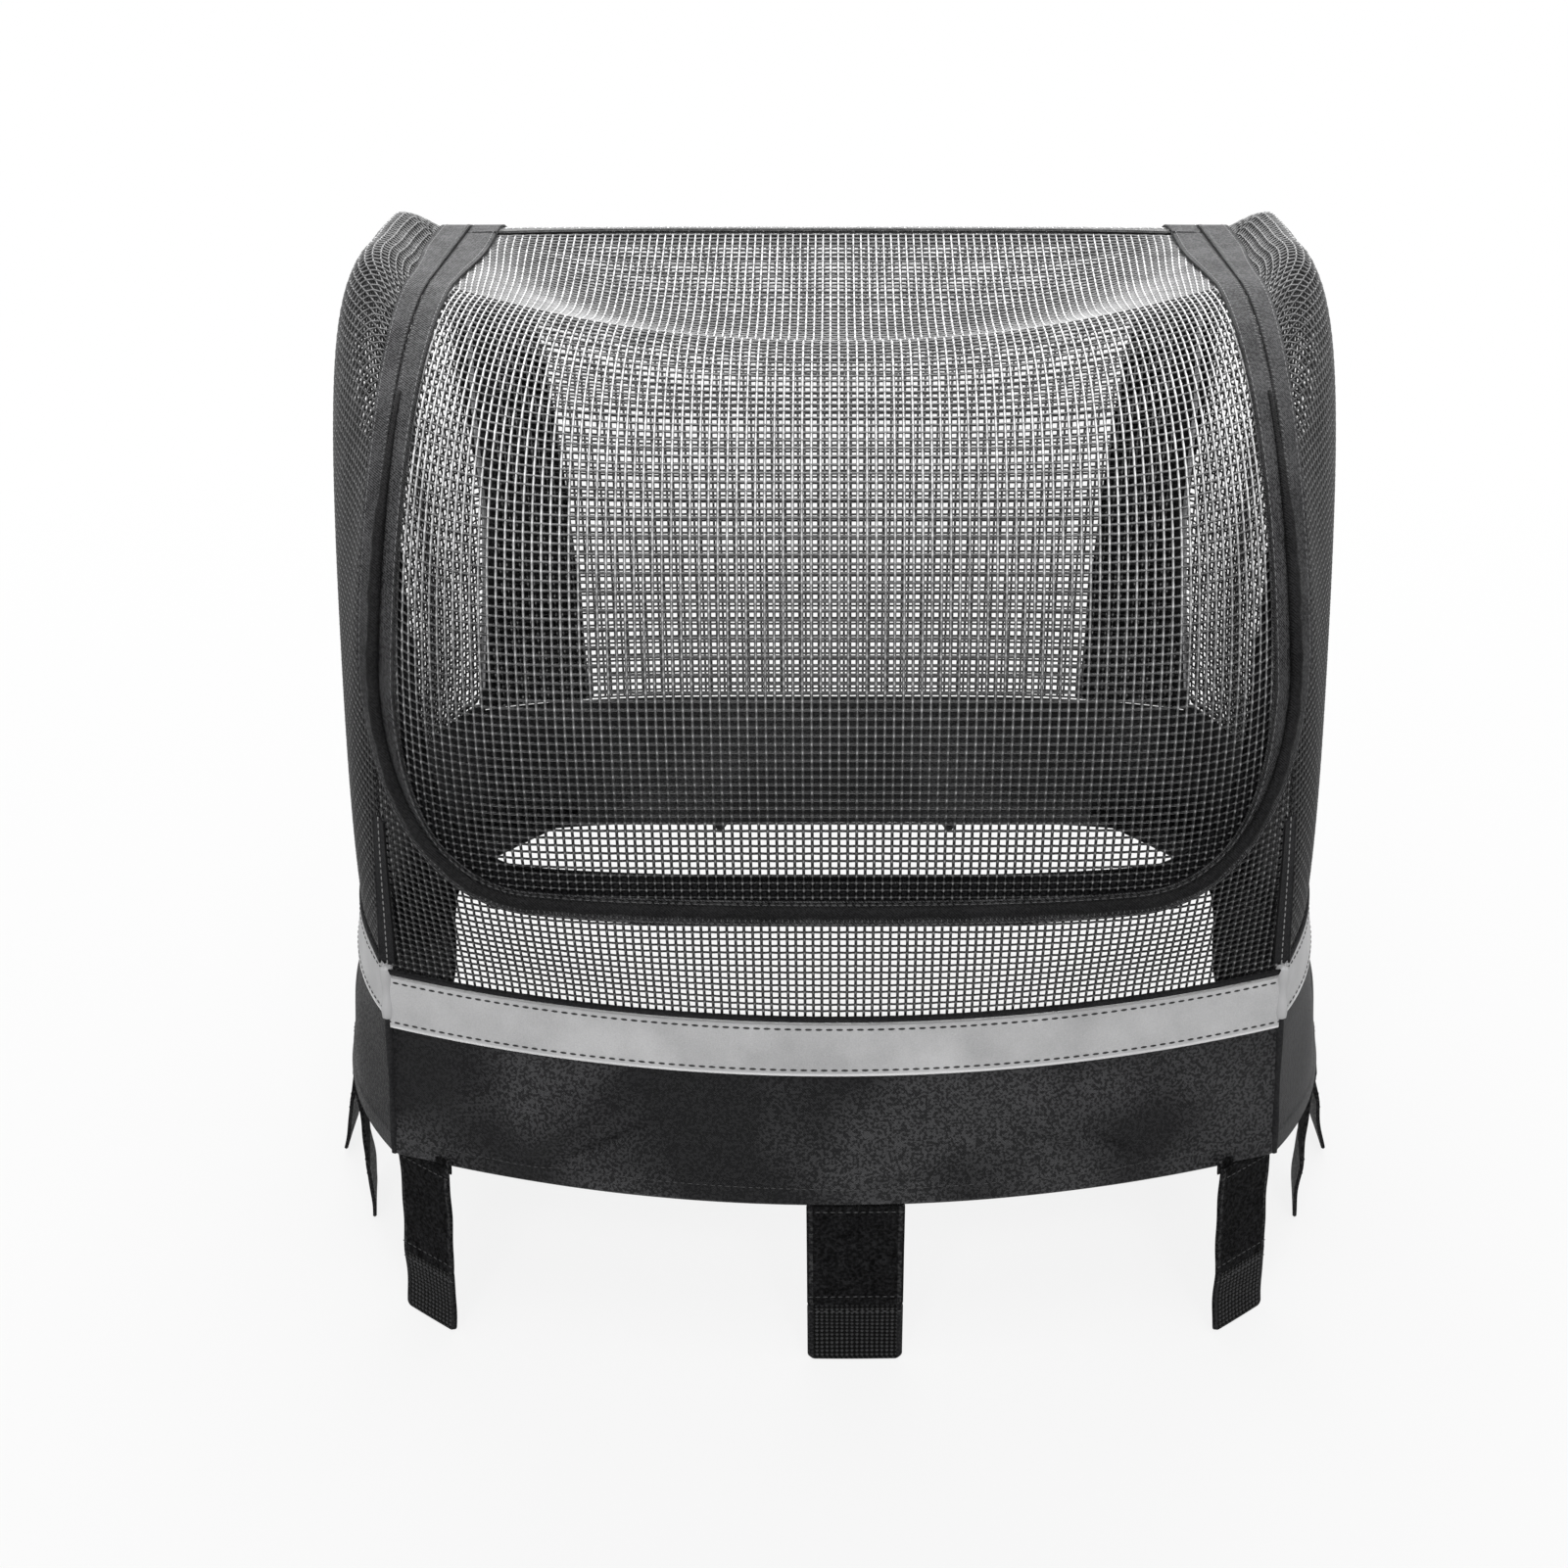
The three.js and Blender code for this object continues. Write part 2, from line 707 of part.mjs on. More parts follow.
// Solid cloth strips up the rear corners
const stripStart = backStartStation + stripStartShare;
const stripEnd = endStation - (sideRise + play) / (archBackZ - skirtHeight);
const stripInside = rearStations.filter((along) => along > stripStart && along < stripEnd);
const stripStations = [stripStart, ...stripInside, stripEnd];
const stripStops = [0, 0.5, 1];

function stripRow(along, side) {
  const inner = meshStops.map((stop) => inward(along, lerp(stripInner(along), meshEdge, stop)));
  const outer = stripStops.map((stop) => inward(along, -lerp(0, bandOuter(along) - play, stop)));
  return [...inner, ...outer].map((across) => spot([side * across, along]));
}
for (const [name, side] of sides) {
  const grid = stripStations.map((along) => stripRow(along, side));
  addPiece(hood, `rear_corner_strip_${name}`, closedSheet(grid, skinLow, skinHigh), clothLook);
}

// The zip's inner half behind the hinge, where the sliders park
for (const [name, side] of sides) {
  const grid = behindStations.map((along) => tapeStops.map((stop) => {
    return spot([side * inward(along, lerp(zipSlit, zipHalf, stop)), along]);
  }));
  addPiece(hood, `zip_end_tape_${name}`, closedSheet(grid, skinLow, skinHigh), zipTapeLook);
}

// Binding across the roof behind the hinge
const bindingEnd = bodyTopStation + hingeBindingWidth / (archBackStartY - hingeY);
const bindingStops = steps(-1, 1, 16);
const hingeGrid = [bodyTopStation, bindingEnd].map((along) => bindingStops.map((stop) => {
  return spot([stop * inward(along, zipHalf + 2 * play), along]);
}));
addPiece(hood, 'hinge_binding', closedSheet(hingeGrid, skinLow, skinHigh), bindingLook);

// Side meshes: sections from the waist to the band's outer edge, with a flange under the band
const sideWaistZ = skirtHeight + sideRise;

function edgeAt(along) {
  return shellPoint(inward(along, -bandOuter(along)), along);
}

function waistSide(y) {
  const share = clamp((y - archFootY) / (archBackFootY - archFootY), 0, 1);
  return archFootHalf + waistSideBulge * (1 - Math.pow(Math.abs(2 * share - 1), bulgePower));
}

const frontShift = edgeAt(0).y - edgeAt(frontStation).y;
const rearShift = edgeAt(backStation).y - edgeAt(endStation).y;

function sidePoint(along, share) {
  const top = edgeAt(along);
  const nearFront = 1 - smoothstep(top.y - edgeAt(frontStation).y, 0, shiftReach);
  const nearBack = smoothstep(top.y, archBackFootY - shiftReach, edgeAt(backStation).y);
  const footY = top.y + frontShift * nearFront - rearShift * nearBack;
  const footX = waistSide(footY);
  const height = top.z - sideWaistZ;
  const fade = 1 - smoothstep(top.y, bulgeFadeY, bulgeEndY);
  const bulge = smoothstep(top.y, bulgeStartY, bulgeFullY) * fade;
  const xs = [footX, footX + bellyBulge * bulge, top.x + shoulderBulge + earBulge * bulge, top.x];
  const kneeZ = sideWaistZ + lowKnotShare * height;
  const shoulderZ = lerp(sideWaistZ + highKnotShare * height, top.z + earRise, bulge);
  const zs = [sideWaistZ, kneeZ, shoulderZ, top.z];
  const section = new THREE.CubicBezierCurve(
    new THREE.Vector2(xs[0], zs[0]),
    new THREE.Vector2(xs[1], zs[1]),
    new THREE.Vector2(xs[2], zs[2]),
    new THREE.Vector2(xs[3], zs[3]),
  );
  const { x, y: z } = section.getPoint(share);
  const climb = clamp((z - sideWaistZ) / height, 0, 1);
  return vector(x, lerp(footY, top.y, Math.sin(climb * rightAngle)), z);
}

const legFootStation = sideRise / (archFrontZ - skirtHeight);
const backFootStation = endStation - sideRise / (archBackZ - skirtHeight);
const legBlendShare = 0.4;
const legStepShare = 0.05;

function sideBlended(along, share) {
  const point = sidePoint(along, share);
  const front = 1 - smoothstep(along, frontStation, frontStation + legBlendShare);
  const back = smoothstep(along, backStation - legBlendShare, backStation);
  const frontLeg = edgeAt(lerp(legFootStation, frontStation, share));
  const backLeg = edgeAt(lerp(backFootStation, backStation, share));
  return point.lerp(frontLeg, front).lerp(backLeg, back);
}

const sideStations = [
  frontStation,
  frontStation + legStepShare,
  ...upperStations.slice(0, -1),
  ...behindStations,
  ...lowBackStations,
];
const flangeStartShare = 0.6;
const sideShares = [1, 0.93, 0.84, 0.73, 0.6, 0.46, 0.31, 0.15, 0];

function sideGrid() {
  const points = sideStations.map((along) => sideShares.map((share) => sideBlended(along, share)));
  const skins = gridNormals(points.map((row) => row.map((point) => point)));
  return skins.map((row, i) => {
    const along = sideStations[i];
    const outer = bandOuter(along);
    const start = Math.min(meshEdge, outer * flangeStartShare);
    const flange = [start, lerp(start, outer, half), outer].map((distance) => {
      return spot([inward(along, -distance), along]);
    });
    flange[2].normal = flange[2].normal.clone().add(row[0].normal).normalize();
    return [...flange, ...row.slice(1)];
  });
}

function mirrorCell({ point, normal }) {
  return { point: vector(-point.x, point.y, point.z), normal: vector(-normal.x, normal.y, normal.z) };
}

const rightSideGrid = sideGrid();
const leftSideGrid = rightSideGrid.map((row) => row.map(mirrorCell));
const sideOpenings = openingBlocks(sideOpenRows, sideOpenColumns);
addPiece(hood, 'side_mesh_left', closedSheet(leftSideGrid, -halfMesh, halfMesh, sideOpenings), netLook);
addPiece(hood, 'side_mesh_right', closedSheet(rightSideGrid, -halfMesh, halfMesh, sideOpenings), netLook);

// Bindings down the front corners, over the seam of front and side mesh
const bindingFoot = (sideRise + bindingRise + bindingWidth + play) / (archFrontZ - skirtHeight);
const bindingTurns = steps(bindingFoot, cornerBindingTopShare, 5);
const cornerStops = [1, 0.5, 0, -0.35, -0.7];
for (const [name, side] of sides) {
  const grid = bindingTurns.map((along) => cornerStops.map((stop) => {
    return spot([side * inward(along, stop * cornerBindingHalf), along]);
  }));
  addPiece(hood, `corner_binding_${name}`, closedSheet(grid, skinLow, skinHigh), bindingLook);
}

// Spring wires in the arches, under the band
const wireLegShares = [0.06, 0.3, 0.55, 0.8];
const wireBackShares = [0.25, 0.5, 0.75, 0.94];
const wireStations = [
  ...wireLegShares,
  ...sideStations,
  ...wireBackShares.map((share) => backStation + share),
];
const wireLift = -halfMesh - play - wireRadius;
const wireSides = 5;
for (const [name, side] of sides) {
  const frames = wireStations.map((along) => {
    const across = side * inward(along, -wireOffsetShare * bandOuter(along));
    return liftedFrame([across, along], wireLift, wireRadius);
  });
  addPiece(hood, `arch_wire_${name}`, closedTube(frames, wireSides), wireLook);
}

// Skirt panels: level shares run from the hem (0) to the waist (1)
function hemSide(y) {
  const share = clamp((y - hemFrontCornerY) / (hemRearCornerY - hemFrontCornerY), 0, 1);
  const straight = lerp(hemFrontHalf, hemRearHalf, share);
  return straight + hemSideBulge * (1 - Math.pow(Math.abs(2 * share - 1), bulgePower));
}

function hemFront(share) {
  const drop = (hemFrontCornerY - hemFrontY) * Math.pow(Math.abs(share), hemFrontPower);
  return vector(hemFrontHalf * share, hemFrontY + drop, 0);
}

function hemRear(share) {
  const drop = (hemRearY - hemRearCornerY) * Math.pow(share, rearHemPower);
  return vector(hemRearHalf * share, hemRearY - drop, 0);
}

const panels = {
  front: {
    waist: (share) => shellPoint(share, 0).setComponent(2, skirtHeight - frontDip * (1 - share * share)),
    hem: hemFront,
    span: archFootHalf,
    folds: [[-0.62, 0.16, 0.9], [-0.5, 0.12, -0.7], [0.55, 0.16, 0.8], [0.68, 0.1, -0.6], [0.05, 0.3, 0.5]],
    columns: 30,
  },
  rear: {
    waist: (share) => shellPoint(share, endStation),
    hem: hemRear,
    span: archFootHalf,
    folds: [[-0.4, 0.2, 0.7], [0.35, 0.18, -0.6]],
    columns: 22,
  },
};
for (const [name, side] of sides) {
  panels[name] = {
    waist: (share) => {
      const y = lerp(archFootY, archBackFootY, (share + 1) * half);
      return vector(side * waistSide(y), y, sideWaistZ);
    },
    hem: (share) => {
      const y = lerp(hemFrontCornerY, hemRearCornerY, (share + 1) * half);
      return vector(side * hemSide(y), y, 0);
    },
    span: (archBackFootY - archFootY) * half,
    folds: [[-0.72, 0.14, 0.8], [-0.5, 0.12, -0.7], [0.3, 0.2, 0.6]],
    columns: 22,
  };
}

function foldAt(panel, share, level) {
  const fade = level < foldTopShare ? Math.sin((Math.PI * level) / foldTopShare) : 0;
  let depth = 0;
  for (const [centreShare, widthShare, depthShare] of panel.folds) {
    const slant = foldSlantShare * (level - foldPivotShare);
    const away = (share - centreShare - slant) / widthShare;
    depth += foldDepth * depthShare * Math.exp(-away * away);
  }
  return depth * fade;
}

function panelGrid(panel, low, high, rows, reach) {
  const points = steps(low, high, rows).map((level) => steps(-reach, reach, panel.columns).map((share) => {
    return panel.hem(share).lerp(panel.waist(share), level);
  }));
  const grid = gridNormals(points);
  grid.forEach((row, i) => row.forEach((cell, j) => {
    const level = lerp(low, high, i / rows);
    const share = lerp(-reach, reach, j / panel.columns);
    cell.point.addScaledVector(cell.normal, foldAt(panel, share, level));
  }));
  return gridNormals(grid.map((row) => row.map((cell) => cell.point)));
}

const halfCloth = clothThick * half;
const skirtRows = 6;
for (const [name, panel] of Object.entries(panels)) {
  const waistZ = panel.waist(1).z;
  const reach = 1 - cornerGap / panel.span;
  const top = 1 - play / waistZ;
  const skirt = closedSheet(panelGrid(panel, 0, top, skirtRows, reach), -halfCloth, halfCloth);
  addPiece(hood, `skirt_${name}`, skirt, clothLook);
  if (name === 'rear') continue;
  const tapeTop = 1 - reflectiveDrop / waistZ;
  const tapeLow = tapeTop - reflectiveWidth / waistZ;
  const tapeGrid = panelGrid(panel, tapeLow, tapeTop, 1, reach);
  const tapeInner = halfCloth + play;
  const tape = closedSheet(tapeGrid, tapeInner, tapeInner + reflectiveThick);
  addPiece(hood, `reflective_tape_${name}`, tape, reflectiveLook);
}

// Dark bindings on the mesh, just above the reflective tape
const frontBindingStations = [bindingRise, bindingRise + bindingWidth].map((rise) => {
  return rise / (archFrontZ - skirtHeight);
});
const frontBindingShares = steps(-1, 1, 30);
const frontBinding = frontBindingStations.map((along) => frontBindingShares.map((share) => {
  return spot([share * edgeShare, along]);
}));
addPiece(hood, 'waist_binding_front', closedSheet(frontBinding, skinLow, skinHigh), bindingLook);

function sideBinding(grid) {
  return grid.slice(1, -1).map((row) => {
    const [above, foot] = row.slice(-2);
    const span = above.point.distanceTo(foot.point);
    return [bindingRise, bindingRise + bindingWidth].map((rise) => ({
      point: foot.point.clone().lerp(above.point, rise / span),
      normal: foot.normal.clone().lerp(above.normal, rise / span).normalize(),
    }));
  });
}
const sideBindings = { left: sideBinding(leftSideGrid), right: sideBinding(rightSideGrid) };
for (const [name] of sides) {
  addPiece(hood, `waist_binding_${name}`, closedSheet(sideBindings[name], skinLow, skinHigh), bindingLook);
}

// Sliders on the level part of the band, and their pulls
const sliderTop = skinHigh + slotPlay;
const sliderLow = coilLift - coilRadius - slotPlayLow;

function outline(points) {
  return new THREE.Shape(points.map(([x, y]) => new THREE.Vector2(x, y)));
}

function extruded(shape, depth) {
  return new THREE.ExtrudeGeometry(shape, { depth, bevelEnabled: false, steps: 1 });
}

function sliderGeometry() {
  const wide = sliderWidth * half;
  const web = webThick * half;
  const top = sliderTop + plateThick;
  const low = sliderLow - plateThick;
  const section = outline([
    [-wide, low], [wide, low], [wide, sliderLow], [web, sliderLow], [web, sliderTop], [wide, sliderTop],
    [wide, top], [-wide, top], [-wide, sliderTop], [-web, sliderTop], [-web, sliderLow], [-wide, sliderLow],
  ]);
  const body = extruded(section, sliderLength);
  body.translate(0, 0, -sliderLength * half);
  body.rotateX(rightAngle);
  const reach = crownLength * half;
  const crownTop = top + crownHeight;
  const crown = outline([[-reach, top - play], [reach, top - play], [reach, crownTop], [-reach, crownTop]]);
  const hole = reach - crownWall;
  crown.holes.push(new THREE.Path([
    new THREE.Vector2(-hole, top + play),
    new THREE.Vector2(hole, top + play),
    new THREE.Vector2(hole, crownTop - crownWall),
    new THREE.Vector2(-hole, crownTop - crownWall),
  ]));
  const bridge = extruded(crown, crownThick);
  bridge.translate(0, 0, -crownThick * half);
  bridge.rotateX(rightAngle);
  bridge.rotateZ(rightAngle);
  return joined(body, bridge);
}

const pullAxisLift = sliderTop + plateThick + play + (crownHeight - crownWall - play) * half;
const pullEyeHalf = crownThick * half + play;
const pullEyeLength = crownLength * half + 2 * play;
const pullBar = pullThick;

function pullGeometry() {
  const wide = pullWidth * half;
  const end = pullLength;
  const start = -pullBar * half;
  const shape = new THREE.Shape();
  shape.moveTo(-wide, start);
  shape.lineTo(wide, start);
  shape.lineTo(wide, end - wide);
  shape.absarc(0, end - wide, wide, 0, Math.PI, false);
  shape.lineTo(-wide, start);
  shape.holes.push(new THREE.Path([
    new THREE.Vector2(-pullEyeHalf, pullBar * half),
    new THREE.Vector2(pullEyeHalf, pullBar * half),
    new THREE.Vector2(pullEyeHalf, pullEyeLength + pullBar * half),
    new THREE.Vector2(-pullEyeHalf, pullEyeLength + pullBar * half),
  ]));
  const pull = new THREE.ExtrudeGeometry(shape, {
    depth: pullThick, bevelEnabled: false, steps: 1, curveSegments: 8,
  });
  pull.translate(0, 0, -pullThick * half);
  return pull;
}

const parkAngle = degToRad(sliderParkAngle);
const parkHalf = halfWidthAt(archBackZ + archBackRadius * Math.cos(parkAngle));
const sliderX = lerp(archCrestHalf, parkHalf, sliderParkShare);
for (const [name, side] of sides) {
  const arm = new THREE.Group();
  arm.position.set(side * sliderX, archBackStartY, archBackZ);
  arm.rotation.x = -parkAngle;
  hood.add(arm);
  const slider = addPiece(arm, `slider_${name}`, sliderGeometry(), metalLook);
  slider.position.z = archBackRadius;
  const pull = addPiece(slider, `slider_pull_${name}`, pullGeometry(), metalLook);
  pull.position.set(0, 0, pullAxisLift);
}

// Straps under the hem
function strapShape(width, length, corner) {
  const wide = width * half;
  const shape = new THREE.Shape();
  shape.moveTo(-wide, 0);
  shape.lineTo(-wide, -length + corner);
  shape.quadraticCurveTo(-wide, -length, -wide + corner, -length);
  shape.lineTo(wide - corner, -length);
  shape.quadraticCurveTo(wide, -length, wide, -length + corner);
  shape.lineTo(wide, 0);
  shape.lineTo(-wide, 0);
  return shape;
}

function strapGeometry(width, length, corner) {
  const shape = strapShape(width, length, corner);
  const geometry = new THREE.ExtrudeGeometry(shape, {
    depth: strapThick, bevelEnabled: false, curveSegments: 2,
  });
  geometry.translate(0, 0, -strapThick * half);
  geometry.rotateX(rightAngle);
  return geometry;
}

function addStrap(name, place, heading, width, splay) {
  const root = new THREE.Group();
  root.position.copy(place);
  root.rotation.z = heading;
  const tilted = new THREE.Group();
  tilted.rotation.x = -degToRad(splay);
  root.add(tilted);
  const loop = addPiece(tilted, `strap_loop_${name}`, strapGeometry(width, loopLength, loopCorner), loopLook);
  loop.position.set(0, 0, -strapDrop);
  const hook = addPiece(loop, `strap_hook_${name}`, strapGeometry(width, hookLength, hookCorner), hookLook);
  hook.position.set(0, 0, -loopLength - strapGap);
  hood.add(root);
}

addStrap('front', hemFront(frontStrapX / hemFrontHalf), 0, frontStrapWidth, 0);
for (const [name, side] of sides) {
  const share = cornerStrapX / hemFrontHalf;
  const ahead = hemFront(share).sub(hemFront(share - hemProbe / hemFrontHalf));
  const corner = hemFront(side * share);
  const heading = Math.atan2(ahead.y, ahead.x) + degToRad(cornerStrapAngle);
  addStrap(`corner_${name}`, corner, side * heading, sideStrapWidth, cornerSplayAngle);
  const placed = [['middle', middleStrapY, 0], ['rear', rearStrapY, rearSplayAngle]];
  for (const [place, y, splay] of placed) {
    const slope = (hemSide(y + hemProbe) - hemSide(y)) / hemProbe;
    const heading = side * (rightAngle - Math.atan(slope));
    addStrap(`${place}_${name}`, vector(side * hemSide(y), y, 0), heading, sideStrapWidth, splay);
  }
}

// Two small folded points of cloth under the rear hem
function rearTabGeometry() {
  const wide = rearTabWidth * half;
  const tab = extruded(outline([[-wide, 0], [0, -rearTabDrop], [wide, 0]]), clothThick);
  tab.translate(0, 0, -halfCloth);
  tab.rotateX(rightAngle);
  return tab;
}
for (const [name, side] of sides) {
  const tab = addPiece(hood, `rear_hem_tab_${name}`, rearTabGeometry(), clothLook);
  tab.position.copy(hemRear((side * rearTabX) / hemRearHalf));
  tab.position.z = -strapDrop;
}

export default hood;
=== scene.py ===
import math

import bpy
import numpy as np
from mathutils import Matrix, Vector
from mathutils.kdtree import KDTree


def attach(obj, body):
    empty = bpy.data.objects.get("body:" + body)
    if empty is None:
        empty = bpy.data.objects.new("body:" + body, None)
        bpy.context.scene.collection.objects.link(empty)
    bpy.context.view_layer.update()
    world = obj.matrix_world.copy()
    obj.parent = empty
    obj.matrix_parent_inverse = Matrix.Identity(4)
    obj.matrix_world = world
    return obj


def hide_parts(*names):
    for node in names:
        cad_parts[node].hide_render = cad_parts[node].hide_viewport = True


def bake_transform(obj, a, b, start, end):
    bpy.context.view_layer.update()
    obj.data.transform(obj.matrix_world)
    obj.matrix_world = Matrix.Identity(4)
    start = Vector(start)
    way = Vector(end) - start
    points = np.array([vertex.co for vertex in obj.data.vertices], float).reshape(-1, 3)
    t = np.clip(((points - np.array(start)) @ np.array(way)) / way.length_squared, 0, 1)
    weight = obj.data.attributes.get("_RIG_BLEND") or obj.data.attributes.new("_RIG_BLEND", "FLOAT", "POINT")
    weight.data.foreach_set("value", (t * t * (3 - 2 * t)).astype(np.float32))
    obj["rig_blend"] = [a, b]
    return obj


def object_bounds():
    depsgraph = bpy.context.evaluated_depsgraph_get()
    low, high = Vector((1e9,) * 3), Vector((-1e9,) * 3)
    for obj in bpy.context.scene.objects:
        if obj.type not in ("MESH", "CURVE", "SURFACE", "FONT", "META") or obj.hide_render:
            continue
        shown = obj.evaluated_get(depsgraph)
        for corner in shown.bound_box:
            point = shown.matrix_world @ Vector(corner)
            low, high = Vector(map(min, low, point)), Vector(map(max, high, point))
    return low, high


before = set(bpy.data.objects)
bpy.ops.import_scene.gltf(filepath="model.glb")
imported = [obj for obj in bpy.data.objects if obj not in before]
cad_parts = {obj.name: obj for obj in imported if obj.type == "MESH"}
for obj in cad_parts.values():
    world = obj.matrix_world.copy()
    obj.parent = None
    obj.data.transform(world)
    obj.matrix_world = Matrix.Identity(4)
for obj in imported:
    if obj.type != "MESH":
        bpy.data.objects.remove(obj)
cad_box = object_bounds()

# The photograph's frame: image size, focal length and middle of the picture in its pixels
IMAGE_PIXELS = 1601
FOCAL_PIXELS = 2000
MIDDLE_X_PIXELS = 852
SENSOR = 36
CAMERA_PLACE = (0, -0.812, 0.544)
CAMERA_PITCH = math.radians(28)

# Shell: stations along the arch are 0 foot, 1 front, 2 ridge, 3 hinge, 4 and 5 rear arc, 6 end
SKIRT_HEIGHT = 0.086
CREST_HEIGHT = 0.346
ARCH_FOOT_HALF = 0.188
ARCH_CREST_HALF = 0.167
ARCH_TAPER = 1.3
ARCH_Y = (-0.120, -0.134, 0.004, 0.090, 0.101, 0.141, 0.133)
ARCH_Z = (0.086, 0.210, 0.346, 0.346, 0.346, 0.306, 0.086)
MIDDLE_Y = (-0.1525, -0.160, -0.066, 0.090, 0.094, 0.157, 0.1505)
MIDDLE_Z = (0.084, 0.205, 0.3405, 0.3475, 0.3475, 0.290, 0.086)
ROOF_SAG = 0.015
SAG_SHIFT = 0.8
SQUARENESS = (2, 9, 2.3, 6, 6, 4, 4)
LEVEL_Y = (0, 0, 0, 1, 1, 1, 0)
LEVEL_Z = (0, 0, 1, 1, 1, 1, 0)
FRONT, RIDGE, HINGE, REAR_ARC, BACK, END = 1, 2, 3, 4, 5, 6
LAST_SPAN = 5

# Layers over the shell
SKIN_LOW = 0.00095
SKIN_HIGH = 0.00195
PLAY = 0.00045

# Zip: half widths from the line where its halves meet
ZIP_HALF = 0.014
ZIP_SLIT = 0.0007
ZIP_LOW_DOOR = 0.0064
ZIP_LOW_BODY = 0.0048
ZIP_END = 4.78
BAND_HALF = 0.015
SEAM_HALF = 0.00225
BAND_GROW = 0.25
BAND_FADE = (0.1, 0.6)
DOOR_JOIN = 1.1
DOOR_FLAT_HALF = 0.115
DOOR_LOW_Z = 0.1383
DOOR_CORNER_RISE = 0.003
DOOR_CORNER_POWER = 2.3
NARROWING = 0.55

# Skirt
FRONT_DIP = 0.002
SIDE_RISE = 0.0045
HEM_FRONT_Y = -0.1655
HEM_FRONT_HALF = 0.1915
HEM_FRONT_CORNER_Y = -0.131
HEM_FRONT_POWER = 2
HEM_REAR_Y = 0.166
HEM_REAR_HALF = 0.192
HEM_REAR_CORNER_Y = 0.150
HEM_REAR_POWER = 4
HEM_SIDE_BULGE = 0.038
WAIST_SIDE_BULGE = 0.026
BULGE_POWER = 3
CLOTH_HALF = 0.00075

# Side nets
BELLY_BULGE = 0.008
SHOULDER_BULGE = 0.006
EAR_BULGE = 0.040
EAR_RISE = 0.062
BULGE_Y = (-0.115, 0.030, 0.085, 0.142)
SHIFT_REACH = 0.090
REAR_PINCH = 0.004
REAR_PINCH_Y = (0.0, 0.085)
LOW_KNOT = 0.42
HIGH_KNOT = 0.88
LEG_BLEND = 0.4

# Trim on the shell
BINDING_RISE = 0.0009
BINDING_WIDTH = 0.0022
CORNER_BINDING_HALF = 0.0042
CORNER_BINDING_TOP = 0.66
STRIP_TOP = 0.020
STRIP_FOOT = 0.057
STRIP_START = 4.8
STRIP_TAPER = 0.8

# Skirt trim
TAPE_WIDTH = 0.024
TAPE_THICK = 0.0008
TAPE_DROP = 0.0006
HEM_FOLD = 0.009
HEM_STEP = 0.0004
HEM_PROBE = 0.001
REAR_TAB_X = 0.0655
REAR_TAB_WIDTH = 0.009
REAR_TAB_DROP = 0.006

# Straps
LOOP_LENGTH = 0.055
HOOK_LENGTH = 0.031
STRAP_THICK = 0.0018
STRAP_GAP = 0.0005
STRAP_DROP = 0.0006
STRAP_ROOT = 0.003
SIDE_STRAP_WIDTH = 0.030
FRONT_STRAP_WIDTH = 0.040
FRONT_STRAP_X = 0.009
CORNER_STRAP_X = 0.179
CORNER_STRAP_ANGLE = math.radians(18)
CORNER_SPLAY = math.radians(4)
MIDDLE_STRAP_Y = -0.058
REAR_STRAP_Y = -0.008
REAR_SPLAY = math.radians(12)
SELVEDGE = 0.0016
LOOP_CORNER = 0.0005
HOOK_CORNER = 0.0025
STRAP_ROW_STEP = 0.0012
STRAP_COLUMNS = 26
STRAP_CORNER_ROWS = 6
STRAP_ROOT_CELLS = 12
STRAP_BEND = 0.0007
STRAP_RIPPLE = 0.0002
RIPPLE_TURNS = 240, 90
STRAP_SEAM = 0.004

SIDES = (("left", -1), ("right", 1))
WIRES = ["arch_wire_left", "arch_wire_right"]

# Net yarns
NET_PITCH = 0.0034
YARN_WIDTH = 0.00118
YARN_DEPTH = 0.00118
CRIMP = 0.00012
# Painted glint on the yarns: its strength on the side and the rear nets, then its share on warp and on weft
SIDE_GLINT = 0.22
REAR_GLINT = 1.5
WARP_GLINT = 1.0
WEFT_GLINT = 0.3


def lerp(a, b, t):
    """The value on the way from a to b, by a share."""
    return a + (b - a) * t


def smoothstep(x, low, high):
    """An eased step from 0 at low to 1 at high."""
    t = np.clip((x - low) / (high - low), 0, 1)
    return t * t * (3 - 2 * t)


# Shell surface
def line_at(ys, zs, sag, along):
    """Depth and height of a line of stations, straight, bent or dipping between two of them."""
    span = np.clip(np.floor(along).astype(int), 0, LAST_SPAN)
    share = along - span
    ys, zs = np.array(ys), np.array(zs)
    y0, y1, z0, z1 = ys[span], ys[span + 1], zs[span], zs[span + 1]
    rise, run = np.sin(share * np.pi / 2), np.cos(share * np.pi / 2)
    dip = (span == RIDGE) * sag * np.sin(np.pi * np.clip(share, 0, 1) ** SAG_SHIFT)
    kinds = [span == 0, span == FRONT, span == REAR_ARC, span == LAST_SPAN]
    bent_y = [lerp(y0, y1, rise), lerp(y1, y0, run), lerp(y0, y1, rise), lerp(y0, y1, share**2)]
    bent_z = [lerp(z0, z1, share), lerp(z0, z1, rise), lerp(z1, z0, run), lerp(z0, z1, share)]
    y = np.select(kinds, bent_y, lerp(y0, y1, share))
    z = np.select(kinds, bent_z, lerp(z0, z1, share) - dip)
    return y, z


def half_width(z):
    """Half the hood's width at a height, on its arches."""
    share = np.clip((CREST_HEIGHT - z) / (CREST_HEIGHT - SKIRT_HEIGHT), 0, 1)
    return lerp(ARCH_CREST_HALF, ARCH_FOOT_HALF, share**ARCH_TAPER)


def table_at(table, along):
    """The value between two stations of a table, eased from one to the next."""
    table = np.array(table, float)
    span = np.clip(np.floor(along).astype(int), 0, LAST_SPAN)
    return lerp(table[span], table[span + 1], smoothstep(along - span, 0, 1))


